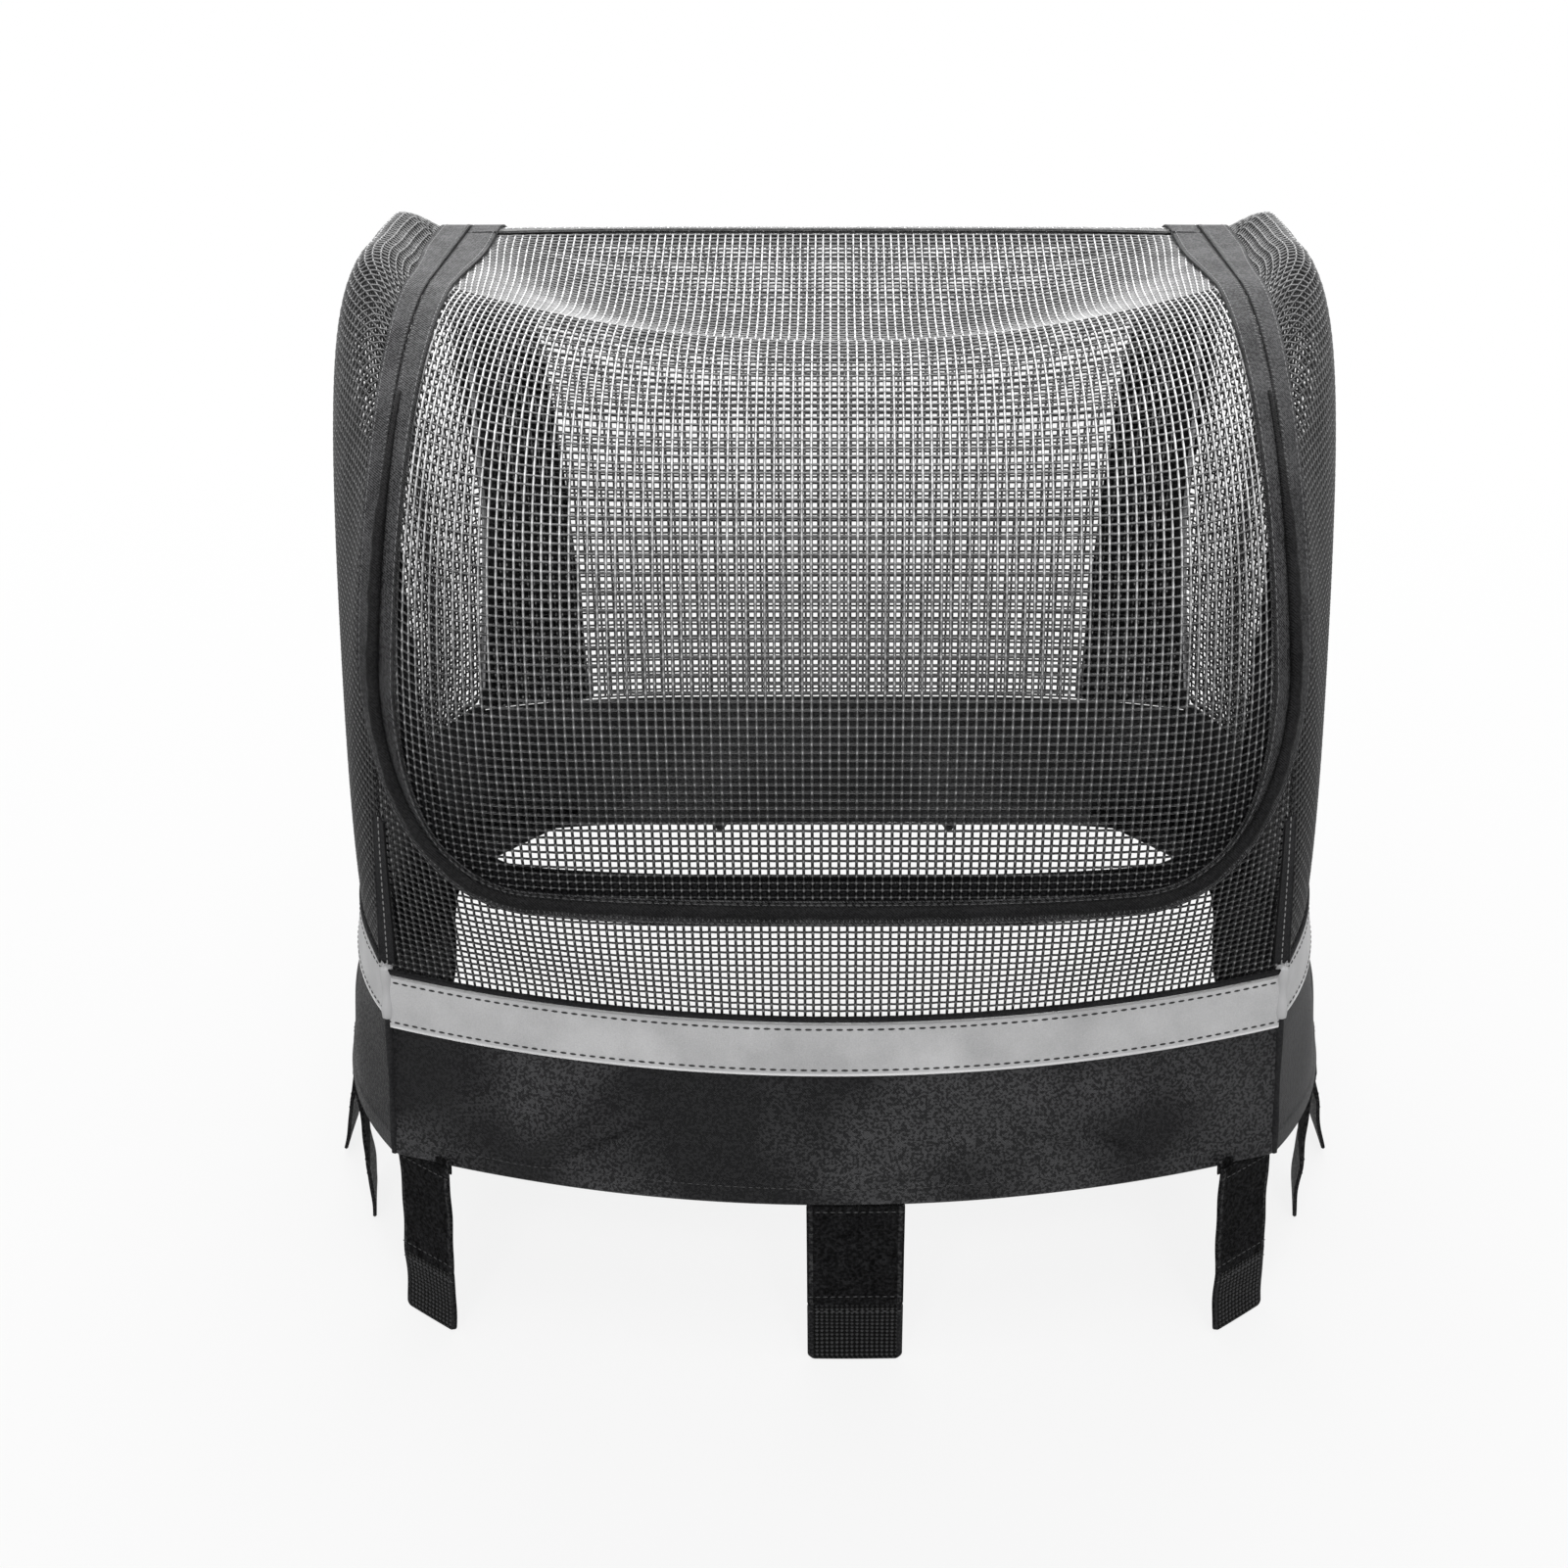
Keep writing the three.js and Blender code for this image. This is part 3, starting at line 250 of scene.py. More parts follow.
def arch_at(along):
    """The arch at a station: its place, the way to the middle line, its ease and its outward way."""
    y, z = line_at(ARCH_Y, ARCH_Z, 0, along)
    mid_y, mid_z = line_at(MIDDLE_Y, MIDDLE_Z, ROOF_SAG, along)
    power, level_y, level_z = (table_at(t, along) for t in (SQUARENESS, LEVEL_Y, LEVEL_Z))
    x, dy, dz = half_width(z), mid_y - y, mid_z - z
    out = np.stack([x, -dy * power * (1 - level_y), -dz * power * (1 - level_z)], -1)
    out /= np.linalg.norm(out, axis=-1, keepdims=True)
    return x, y, z, dy, dz, power, level_y, level_z, out


def shell(across, along):
    """Places of the hood's surface: across is 0 in the middle and 1 on an arch."""
    across, along = np.broadcast_arrays(np.asarray(across, float), np.asarray(along, float))
    x, y, z, dy, dz, power, level_y, level_z, out = arch_at(np.clip(along, 0, END))
    share, side = np.abs(across), np.sign(across)
    hump = 1 - np.minimum(share, 1) ** power
    hump_y, hump_z = lerp(hump, hump**2, level_y), lerp(hump, hump**2, level_z)
    over = np.maximum(share - 1, 0) * x
    return np.stack([
        side * (x * np.minimum(share, 1) + out[..., 0] * over),
        y + dy * hump_y + out[..., 1] * over,
        z + dz * hump_z + out[..., 2] * over,
    ], -1)


PROBE = 0.012
TINY = 1e-12
HEART = np.array([0, (ARCH_Y[0] + ARCH_Y[-1]) / 2, SKIRT_HEIGHT])


def unit(v):
    """Vectors at length 1."""
    return v / np.maximum(np.linalg.norm(v, axis=-1, keepdims=True), TINY)


def outwards(normals, points):
    """Normals turned to point away from the middle of the hood."""
    inside = np.sum(normals * (points - HEART), -1, keepdims=True) < 0
    return np.where(inside, -normals, normals)


def arc_lengths(points, axis=0):
    """Length run along each line of places."""
    steps = np.linalg.norm(np.diff(points, axis=axis), axis=-1)
    start = np.zeros_like(steps.take([0], axis))
    return np.concatenate([start, np.cumsum(steps, axis=axis)], axis)


def shell_normal(across, along):
    """Outward normals of the hood's surface."""
    wide = shell(across + PROBE, along) - shell(across - PROBE, along)
    long = shell(across, along + PROBE) - shell(across, along - PROBE)
    return outwards(unit(np.cross(wide, long)), shell(across, along))


def on_shell(across, along):
    """Places and normals of the hood's surface."""
    return shell(across, along), shell_normal(across, along)


WALK_STEPS = 12


def inward(along, distance):
    """Across value at a distance from the arch along the surface, inward when positive."""
    along, distance = np.broadcast_arrays(np.asarray(along, float), np.asarray(distance, float))
    across = np.ones(along.shape)
    for _ in range(WALK_STEPS):
        later = across - PROBE / 2
        stretch = np.linalg.norm(shell(across, along) - shell(later, along), axis=-1) / (across - later)
        across = across - distance / WALK_STEPS / stretch
    return np.where(distance > 0, across, 1 - distance / arch_at(along)[0])


SEARCH_STEPS = 26


def on_front(x, z):
    """Shell place of a point of the front, as seen from the front."""
    low, high = np.zeros(x.shape), np.full(x.shape, float(RIDGE))
    for _ in range(SEARCH_STEPS):
        along = (low + high) / 2
        width, *_, out = arch_at(along)
        beyond = (np.abs(x) - width) / (width * out[..., 0])
        across = np.sign(x) * np.where(beyond > 0, 1 + beyond, np.abs(x) / width)
        below = shell(across, along)[..., 2] < z
        low, high = np.where(below, along, low), np.where(below, high, along)
    return across, along


def band_outer(along):
    """How far the zip band, or the seam below it, reaches beyond the arch."""
    grown = smoothstep(along, FRONT, FRONT + BAND_GROW)
    kept = 1 - smoothstep(along, BACK + BAND_FADE[0], BACK + BAND_FADE[1])
    return lerp(SEAM_HALF, BAND_HALF, np.minimum(grown, kept))


# Zip path: kind 0 on the arch (value is a station), 1 round the corner (turn), 2 along the bottom
JOIN_X = float(arch_at(np.array(DOOR_JOIN))[0])
JOIN_Z = float(arch_at(np.array(DOOR_JOIN))[2])
CORNER_Z = DOOR_LOW_Z + DOOR_CORNER_RISE
ARCHED, TURNED, LEVEL = 0, 1, 2
TURN_PROBE = 0.01
ARCH_SAMPLES, TURN_SAMPLES, LEVEL_SAMPLES = 400, 120, 40
ROW_STEP = 0.0025


def corner_at(turn):
    """Place of the zip line's low corner, seen from the front."""
    out = np.clip(np.cos(turn), 0, 1) ** (2 / DOOR_CORNER_POWER)
    down = np.clip(np.sin(turn), 0, 1) ** (2 / DOOR_CORNER_POWER)
    return lerp(DOOR_FLAT_HALF, JOIN_X, out), lerp(JOIN_Z, CORNER_Z, down)


def corner_inward(turn):
    """The way from the corner line towards the door."""
    x0, z0 = corner_at(np.maximum(turn - TURN_PROBE, 0))
    x1, z1 = corner_at(np.minimum(turn + TURN_PROBE, np.pi / 2))
    length = np.hypot(x1 - x0, z1 - z0)
    return (z1 - z0) / length, (x0 - x1) / length


def zip_place(kind, value, side, distance, lowest):
    """Shell place beside the zip line; distance on the arch fades to lowest along the bottom."""
    kind, value, side, distance, lowest = (
        np.asarray(a, float) for a in np.broadcast_arrays(kind, value, side, distance, lowest)
    )
    station = np.where(kind == ARCHED, value, DOOR_JOIN)
    arch_across = side * inward(station, distance)
    turn = np.where(kind == TURNED, value, np.pi / 2)
    x, z = corner_at(turn)
    nx, nz = corner_inward(turn)
    level = kind == LEVEL
    x = np.where(level, DOOR_FLAT_HALF * value, x)
    z = np.where(level, DOOR_LOW_Z + DOOR_CORNER_RISE * value**2, z)
    nx, nz = np.where(level, 0, nx), np.where(level, 1, nz)
    join_out = float(arch_at(np.array(DOOR_JOIN))[-1][0])
    reach = np.where(distance > 0, (1 - np.abs(inward(DOOR_JOIN, distance))) * JOIN_X, distance * join_out)
    width = lerp(reach, lowest, smoothstep(turn / (np.pi / 2), 0, NARROWING))
    across, along = on_front(side * (x + nx * width), z + nz * width)
    return np.where(kind == ARCHED, arch_across, across), np.where(kind == ARCHED, station, along)


def zip_path(top_station):
    """Rows from the right end over the front and back up the left side, about evenly spaced."""
    stations = np.linspace(top_station, DOOR_JOIN, ARCH_SAMPLES)
    turns = np.linspace(0, np.pi / 2, TURN_SAMPLES + 1)[1:]
    shares = np.linspace(1, 0, LEVEL_SAMPLES + 1)[1:]
    kind = np.repeat([ARCHED, TURNED, LEVEL], [ARCH_SAMPLES, TURN_SAMPLES, LEVEL_SAMPLES])
    value = np.concatenate([stations, turns, shares])
    length = arc_lengths(shell(*zip_place(kind, value, 1, 0.0, 0.0)))
    count = int(round(length[-1] / ROW_STEP))
    wanted = np.linspace(0, length[-1], count + 1)
    rank = np.interp(wanted, length, np.arange(len(length)))
    low = np.minimum(np.floor(rank).astype(int), len(kind) - 2)
    part = rank - low
    same = kind[low] == kind[low + 1]
    chosen = np.where(part > 0.5, low + 1, low)
    value = np.where(same, lerp(value[low], value[low + 1], part), value[chosen])
    kind = kind[chosen]
    side = np.ones(count + 1)
    return (
        np.concatenate([kind, kind[-2::-1]]),
        np.concatenate([value, value[-2::-1]]),
        np.concatenate([side, -side[-2::-1]]),
    )


# Node trees: one wrapper for sockets, one for trees
class Field:
    """An output socket. Arithmetic on it adds Math nodes to its tree."""

    def __init__(self, tree, socket):
        self.tree, self.socket = tree, socket

    def math(self, operation, *others):
        return self.tree.node("ShaderNodeMath", {"operation": operation}, dict(enumerate((self, *others))))

    def __add__(self, other):
        return self.math("ADD", other)

    __radd__ = __add__

    def __sub__(self, other):
        return self.math("SUBTRACT", other)

    def __rsub__(self, other):
        return self.tree.node("ShaderNodeMath", {"operation": "SUBTRACT"}, {0: other, 1: self})

    def __mul__(self, other):
        return self.math("MULTIPLY", other)

    __rmul__ = __mul__

    def sin(self):
        return self.math("SINE")

    def abs(self):
        return self.math("ABSOLUTE")

    def clamp(self):
        return self.tree.node("ShaderNodeClamp", {}, {0: self})


class Tree:
    """A node tree with one method that makes a node from its type, settings and inputs."""

    def __init__(self, tree):
        self.tree = tree

    def node(self, kind, settings=None, inputs=None, output=0):
        made = self.tree.nodes.new(kind)
        for name, value in (settings or {}).items():
            setattr(made, name, value)
        for name, value in (inputs or {}).items():
            socket = made.inputs[name]
            if isinstance(value, Field):
                self.tree.links.new(value.socket, socket)
            else:
                socket.default_value = value
        return Field(self, made.outputs[output])

    def field(self, made, output):
        return Field(self, made.socket.node.outputs[output])


CLOTH_UV = "cloth"
MIX_LOW, MIX_HIGH, MIX_RESULT = 6, 7, 2


class Surface(Tree):
    """A material: a Principled shader fed by pattern nodes."""

    def __init__(self, name, color, roughness, metallic=0.0, **fixed):
        self.material = bpy.data.materials.new(name)
        self.material.use_nodes = True
        super().__init__(self.material.node_tree)
        self.shader = self.tree.nodes["Principled BSDF"]
        self.shader.inputs["Base Color"].default_value = (*color, 1)
        self.shader.inputs["Roughness"].default_value = roughness
        self.shader.inputs["Metallic"].default_value = metallic
        for socket, value in fixed.items():
            self.shader.inputs[socket.replace("_", " ")].default_value = value

    def feed(self, socket, field):
        self.tree.links.new(field.socket, self.shader.inputs[socket])

    def place(self):
        return self.node("ShaderNodeTexCoord", output="Object")

    def split(self, vector):
        made = self.node("ShaderNodeSeparateXYZ", {}, {0: vector})
        return made, self.field(made, 1), self.field(made, 2)

    def over_cloth(self):
        """Places across and along a sheet in metres, from its UV map."""
        across, along, _ = self.split(self.node("ShaderNodeUVMap", {"uv_map": CLOTH_UV}))
        return across, along

    def noise(self, scale, detail):
        inputs = {"Vector": self.place(), "Scale": scale, "Detail": detail}
        return self.node("ShaderNodeTexNoise", {}, inputs)

    def spots(self, scale, gain, detail):
        """Noise spread over 0 to 1 with its contrast raised."""
        return ((self.noise(scale, detail) - 0.5) * gain + 0.5).clamp()

    def mix(self, share, low, high):
        """A colour between two, each a link or three numbers."""
        low, high = (end if isinstance(end, Field) else (*end, 1) for end in (low, high))
        inputs = {"Factor": share, MIX_LOW: low, MIX_HIGH: high}
        return self.node("ShaderNodeMix", {"data_type": "RGBA"}, inputs, MIX_RESULT)

    def rough(self, pattern, least, rise):
        """Feeds a roughness that rises from its least with a pattern."""
        self.feed("Roughness", pattern * rise + least)

    def bump(self, height, distance, strength):
        inputs = {"Height": height, "Distance": distance, "Strength": strength}
        self.feed("Normal", self.node("ShaderNodeBump", {}, inputs))


# Geometry node trees
def geometry_tree(name, inputs):
    """An empty geometry tree with named inputs, and their fields."""
    tree = bpy.data.node_groups.new(name, "GeometryNodeTree")
    tree.interface.new_socket("Geometry", in_out="INPUT", socket_type="NodeSocketGeometry")
    for label, kind in inputs:
        tree.interface.new_socket(label, in_out="INPUT", socket_type=kind)
    tree.interface.new_socket("Geometry", in_out="OUTPUT", socket_type="NodeSocketGeometry")
    made = Tree(tree)
    start = made.node("NodeGroupInput")
    return made, {label: made.field(start, label) for label in ["Geometry"] + [i[0] for i in inputs]}


def finish_tree(made, geometry, material):
    """Ends a tree with real geometry in its material."""
    real = made.node("GeometryNodeRealizeInstances", {}, {"Geometry": geometry})
    painted = made.node("GeometryNodeSetMaterial", {}, {"Geometry": real, "Material": material})
    end = made.tree.nodes.new("NodeGroupOutput")
    made.tree.links.new(painted.socket, end.inputs["Geometry"])


def attribute(made, name, kind, output=0):
    """A named value of the mesh that the tree works on."""
    return made.node("GeometryNodeInputNamedAttribute", {"data_type": kind}, {"Name": name}, output)


FLOAT, VECTOR, MATERIAL = "NodeSocketFloat", "NodeSocketVector", "NodeSocketMaterial"
YARN_SIDES = 4
THREAD_SIDES = 5
STITCH_SEGMENTS, STITCH_RINGS = 8, 6
PATH_VALUES = ("out", "over", "warp", "rank")


def net_tree():
    """Yarns along the edges of a lattice, each over and under its neighbours in turn."""
    sizes = [(label, FLOAT) for label in ("Width", "Depth", "Crimp", "Glint")]
    made, use = geometry_tree("net yarns", [*sizes, ("Yarn", MATERIAL)])
    out = attribute(made, "out", "FLOAT_VECTOR")
    over = attribute(made, "over", "FLOAT")
    warp = attribute(made, "warp", "BOOLEAN")
    weft = made.node("FunctionNodeBooleanMath", {"operation": "NOT"}, {0: warp})
    inputs = {"Resolution": YARN_SIDES, "Radius": 0.5}
    circle = made.node("GeometryNodeCurvePrimitiveCircle", {"mode": "RADIUS"}, inputs)
    size = made.node("ShaderNodeCombineXYZ", {}, {"X": use["Width"], "Y": use["Depth"], "Z": 1.0})
    profile = made.node("GeometryNodeTransform", {}, {"Geometry": circle, "Scale": size})
    join = made.tree.nodes.new("GeometryNodeJoinGeometry")
    ranks = made.node("ShaderNodeSeparateXYZ", {}, {0: attribute(made, "rank", "FLOAT_VECTOR")})
    for chosen, sign, rank, share in (
        (warp, 1.0, made.field(ranks, 1), WARP_GLINT),
        (weft, -1.0, made.field(ranks, 0), WEFT_GLINT),
    ):
        lift = over * use["Crimp"] * sign
        offset = made.node("ShaderNodeVectorMath", {"operation": "SCALE"}, {0: out, "Scale": lift})
        moved = made.node("GeometryNodeSetPosition", {}, {"Geometry": use["Geometry"], "Offset": offset})
        curve = made.node("GeometryNodeMeshToCurve", {}, {"Mesh": moved, "Selection": chosen})
        turned = made.node("GeometryNodeSetCurveNormal", {"mode": "FREE"}, {"Curve": curve, "Normal": out})
        inputs = {"Curve": turned, "Profile Curve": profile, "Fill Caps": True}
        yarn = made.node("GeometryNodeCurveToMesh", {}, inputs)
        inputs = {0: made.node("GeometryNodeInputNormal"), 1: out}
        facing = made.node("ShaderNodeVectorMath", {"operation": "DOT_PRODUCT"}, inputs)
        # Painted glint: yarn faces that look out of the net get a pale share, scaled by the net's glint
        # strength and by the share for warp or weft
        facing = made.field(facing, "Value").abs() * use["Glint"] * share
        settings = {"data_type": "FLOAT", "domain": "POINT"}
        for label, value in (("pale", facing), ("knot", rank)):
            inputs = {"Geometry": yarn, "Name": label, "Value": value}
            yarn = made.node("GeometryNodeStoreNamedAttribute", settings, inputs)
        smooth = made.node("GeometryNodeSetShadeSmooth", {}, {"Geometry": yarn})
        made.tree.links.new(smooth.socket, join.inputs[0])
    finish_tree(made, Field(made, join.outputs[0]), use["Yarn"])
    return made.tree


def path_curve(made, use):
    """The path that the mesh's edges make, with its normals."""
    out = attribute(made, "out", "FLOAT_VECTOR")
    curve = made.node("GeometryNodeMeshToCurve", {}, {"Mesh": use["Geometry"]})
    return made.node("GeometryNodeSetCurveNormal", {"mode": "FREE"}, {"Curve": curve, "Normal": out})


def stitch_tree():
    """Short threads laid along a path, one at each pitch, with their own length along it."""
    made, use = geometry_tree("stitches", [("Pitch", FLOAT), ("Size", VECTOR), ("Yarn", MATERIAL)])
    inputs = {"Curve": path_curve(made, use), "Length": use["Pitch"]}
    points = made.node("GeometryNodeCurveToPoints", {"mode": "LENGTH"}, inputs)
    inputs = {"Segments": STITCH_SEGMENTS, "Rings": STITCH_RINGS, "Radius": 0.5}
    ball = made.node("GeometryNodeMeshUVSphere", {}, inputs)
    smooth = made.node("GeometryNodeSetShadeSmooth", {}, {"Geometry": ball})
    turned = made.field(points, "Rotation")
    inputs = {"Points": points, "Instance": smooth, "Rotation": turned, "Scale": use["Size"]}
    finish_tree(made, made.node("GeometryNodeInstanceOnPoints", {}, inputs), use["Yarn"])
    return made.tree


def tube_tree():
    """A thin round thread along a path."""
    made, use = geometry_tree("thread", [("Radius", FLOAT), ("Yarn", MATERIAL)])
    inputs = {"Resolution": THREAD_SIDES, "Radius": use["Radius"]}
    circle = made.node("GeometryNodeCurvePrimitiveCircle", {"mode": "RADIUS"}, inputs)
    inputs = {"Curve": path_curve(made, use), "Profile Curve": circle, "Fill Caps": True}
    tube = made.node("GeometryNodeCurveToMesh", {}, inputs)
    finish_tree(made, made.node("GeometryNodeSetShadeSmooth", {}, {"Geometry": tube}), use["Yarn"])
    return made.tree


def baked(name, mesh, tree, values):
    """The result of a geometry tree on a mesh, as one plain mesh object."""
    start = bpy.data.objects.new(name + " path", mesh)
    bpy.context.scene.collection.objects.link(start)
    modifier = start.modifiers.new("nodes", "NODES")
    modifier.node_group = tree
    sockets = {s.name: s.identifier for s in tree.interface.items_tree if s.in_out == "INPUT"}
    for label, value in values.items():
        modifier[sockets[label]] = value
    bpy.context.view_layer.update()
    result = start.evaluated_get(bpy.context.evaluated_depsgraph_get())
    done = bpy.data.meshes.new_from_object(result)
    bpy.data.objects.remove(start)
    bpy.data.meshes.remove(mesh)
    for spare in list(done.attributes):
        if spare.name in PATH_VALUES:
            done.attributes.remove(spare)
    piece = bpy.data.objects.new(name, done)
    done.name = name
    bpy.context.scene.collection.objects.link(piece)
    return piece


def place_on(piece, body, slot, *nodes):
    """Gives a piece its body, and takes out the CAD nodes that it stands for. Its slot is not used."""
    if nodes:
        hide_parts(*nodes)
    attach(piece, body)
    return piece


# Materials. A pattern is a scale in turns a metre, a gain and a detail; tones run from dark to light.
# The numbers inside a tone are the shares of its patterns.
DUST = 90, 2.5, 3
# Painted highlight on the net yarns: it grows over this height range towards the hood's top, where the light
# falls from above
TOP_GLINT_LOW = 0.185
TOP_GLINT_RISE = 0.135
# Painted highlight between the knots and on them: least share and rise towards the top
BETWEEN_LEAST, BETWEEN_RISE = 0.02, 0.84
CROWN_LEAST, CROWN_RISE = 0.42, 0.58
# Net yarn colours: the dark yarn, then the pale colour of its painted highlight
NET_TONE_AND_GLINT = (0.003, 0.003, 0.0035), (0.80, 0.80, 0.805)
WEAVE_PITCH = 0.0011
# Soft pale patches of painted sheen on the oxford cloth
SHEEN_PATCHES = 13, 6, 1.5
SPECKLE = 780, 8, 1
OXFORD_TONES = (0.002, 0.002, 0.0025), (0.052, 0.052, 0.054)
RIB_GRAIN = 950, 7, 1
RIB_CLOUD = 60, 3, 3
RIB_SHARE = 0.35
RIB_SLANT = 0.6
BEADS = 1800, 2, 2
BEAD_CLOUD = 34, 2.6, 4
REFLECTIVE_TONES = (0.33, 0.33, 0.335), (0.57, 0.57, 0.575)
REFLECTIVE_EDGE = (0.66, 0.66, 0.665)
EDGE_START, EDGE_GAIN = 0.88, 9
SELVEDGE_GAIN = 4000
FUZZ = 620, 5, 4
TUFTS = 150, 3, 3
PILE_TONES = (0.001, 0.001, 0.001), (0.020, 0.020, 0.021)
PILE_EDGE_TONES = (0.012, 0.012, 0.013), (0.050, 0.050, 0.051)
HOOK_PITCH = 0.0044
HOOK_GRAIN = 900, 4, 2
HOOK_TONES = (0.001, 0.001, 0.001), (0.056, 0.056, 0.058)
HOOK_EDGE_TONES = (0.006, 0.006, 0.007), (0.034, 0.034, 0.035)
WEAR_SCALE, WEAR_DETAIL = 380, 3


def net_yarn():
    """Coated yarn, with a painted highlight along its crown and on its knots that grows towards the hood's
    top, broken up by random dust.
    """
    made = Surface("net yarn", (0.012, 0.012, 0.013), roughness=0.3, Specular_IOR_Level=0.28)
    dust_and_glint = made.spots(*DUST)
    pale = made.node("ShaderNodeAttribute", {"attribute_name": "pale"}, output="Fac")
    knot = made.node("ShaderNodeAttribute", {"attribute_name": "knot"}, output="Fac")
    swell = (knot * (2 * math.pi) + math.pi / 2).sin() * 0.5 + 0.5
    # Painted highlight, stronger towards the hood's top, where the light falls from above
    height = made.split(made.place())[2]
    top = ((height - TOP_GLINT_LOW) * (1 / TOP_GLINT_RISE)).clamp()
    between = top * BETWEEN_RISE + BETWEEN_LEAST
    # Painted highlight: full on each knot, and between the knots more towards the top
    crown = swell * swell * swell * (1 - between) + between
    crown = (pale * crown * (top * CROWN_RISE + CROWN_LEAST) * (dust_and_glint * 0.6 + 0.7)).clamp()
    made.feed("Base Color", made.mix(crown, *NET_TONE_AND_GLINT))
    made.rough(dust_and_glint, least=0.22, rise=0.14)
    made.bump(swell, distance=0.0005, strength=0.8)
    return made.material


def oxford_cloth():
    """Coated plain weave with soft pale patches of painted sheen and a speckle of threads."""
    made = Surface("oxford cloth", (0.014, 0.014, 0.015), roughness=0.6, Specular_IOR_Level=0.14)
    across, along = made.over_cloth()
    turn = 2 * math.pi / WEAVE_PITCH
    weave = (across * turn).sin() * (along * turn).sin()
    # Soft pale patches of painted sheen, over a speckle of threads
    sheen_patches, speckle = made.spots(*SHEEN_PATCHES), made.spots(*SPECKLE)
    tone = (sheen_patches * (speckle * 0.7 + 0.2) + speckle * 0.3 + weave * 0.05 - 0.04).clamp()
    made.feed("Base Color", made.mix(tone, *OXFORD_TONES))
    made.rough(speckle, least=0.45, rise=0.2)
    made.bump(weave * 0.5 + speckle, distance=0.0003, strength=0.7)
    return made.material


def ribbed_cloth(name, dark, light, pitch):
    """Narrow woven cloth with diagonal ribs, such as zip tape and binding."""
    made = Surface(name, dark, roughness=0.75, Specular_IOR_Level=0.12)
    across, along, height = made.split(made.place())
    ribs = ((across + along * RIB_SLANT + height) * (2 * math.pi / pitch)).sin()
    grain, cloud = made.spots(*RIB_GRAIN), made.spots(*RIB_CLOUD)
    tone = (ribs * RIB_SHARE + grain * 0.5 + cloud * 0.4 + 0.05).clamp()
    made.feed("Base Color", made.mix(tone, dark, light))
    made.bump(ribs * 0.4 + grain, distance=0.00025, strength=0.7)
    return made.material


def reflective_cloth():
    """Grey cloth with glass beads, paler along its turned edges."""
    made = Surface("reflective cloth", (0.36, 0.36, 0.365), roughness=0.5, Specular_IOR_Level=0.3)
    _, rise = made.over_cloth()
    edge = (rise * (1 / TAPE_WIDTH) - 0.5).abs() * 2
    grain, cloud = made.spots(*BEADS), made.spots(*BEAD_CLOUD)
    base = made.mix((cloud * 0.6 + grain * 0.4).clamp(), *REFLECTIVE_TONES)
    turned = ((edge - EDGE_START) * EDGE_GAIN).clamp()
    made.feed("Base Color", made.mix(turned, base, REFLECTIVE_EDGE))
    made.rough(grain, least=0.4, rise=0.2)
    made.bump(grain + cloud, distance=0.00015, strength=0.5)
    return made.material


def strap_middle(made, width):
    """1 between the plain edges of a strap of this width and 0 on them."""
    across, _ = made.over_cloth()
    from_middle = (across - width / 2).abs()
    return ((width / 2 - SELVEDGE - from_middle) * SELVEDGE_GAIN).clamp()


def loop_cloth(width):
    """Soft pile between two plain edges."""
    dark = (0.004, 0.004, 0.0045)
    made = Surface(f"loop pile {width}", dark, roughness=0.95, Specular_IOR_Level=0.05)
    fuzz, tufts = made.spots(*FUZZ), made.spots(*TUFTS)
    pile = made.mix((fuzz * 0.7 + tufts * 0.3).clamp(), *PILE_TONES)
    plain = made.mix(fuzz, *PILE_EDGE_TONES)
    made.feed("Base Color", made.mix(strap_middle(made, width), plain, pile))
    made.bump(fuzz + tufts * 0.5, distance=0.0008, strength=1.0)
    return made.material


def hook_cloth(width):
    """Rows of small hooks on a woven ground, set in diamonds between two plain edges."""
    dark = (0.014, 0.014, 0.015)
    made = Surface(f"hook ground {width}", dark, roughness=0.5, Specular_IOR_Level=0.05)
    across, along = made.over_cloth()
    turn = 2 * math.pi / HOOK_PITCH
    diamonds = ((across + along) * turn).sin() * ((across - along) * turn).sin()
    grain = made.spots(*HOOK_GRAIN)
    hooks = made.mix((diamonds * 3 + grain * 0.3 - 0.2).clamp(), *HOOK_TONES)
    plain = made.mix(grain, *HOOK_EDGE_TONES)
    made.feed("Base Color", made.mix(strap_middle(made, width), plain, hooks))
    made.rough(grain, least=0.4, rise=0.3)
    made.bump(diamonds + grain * 0.4, distance=0.0008, strength=0.9)
    return made.material


def smooth_stuff(name, color, roughness, metallic=0.0, wear=0.1):
    """Thread, nylon or metal with its gloss a little worn."""
    made = Surface(name, color, roughness, metallic)
    worn = made.noise(WEAR_SCALE, WEAR_DETAIL)
    made.rough(worn, least=roughness - wear / 2, rise=wear)
    return made.material


FINE_RIB, WIDE_RIB = 0.0009, 0.0012
NET_YARN = net_yarn()
OXFORD = oxford_cloth()
BARE_OXFORD = ribbed_cloth("corner cloth", (0.006, 0.006, 0.007), (0.026, 0.026, 0.027), FINE_RIB)
REFLECTIVE_FOLD = smooth_stuff("reflective fold", (0.42, 0.42, 0.425), 0.5)
ZIP_TAPE = ribbed_cloth("zip tape", (0.006, 0.006, 0.0065), (0.080, 0.080, 0.082), WIDE_RIB)
BINDING = ribbed_cloth("binding", (0.006, 0.006, 0.007), (0.022, 0.022, 0.023), FINE_RIB)
HINGE_CLOTH = ribbed_cloth("hinge cloth", (0.07, 0.07, 0.07), (0.18, 0.18, 0.18), FINE_RIB)
ROLLED_FOLD = ribbed_cloth("rolled fold", (0.001, 0.001, 0.0012), (0.014, 0.014, 0.0145), WIDE_RIB)
REFLECTIVE = reflective_cloth()
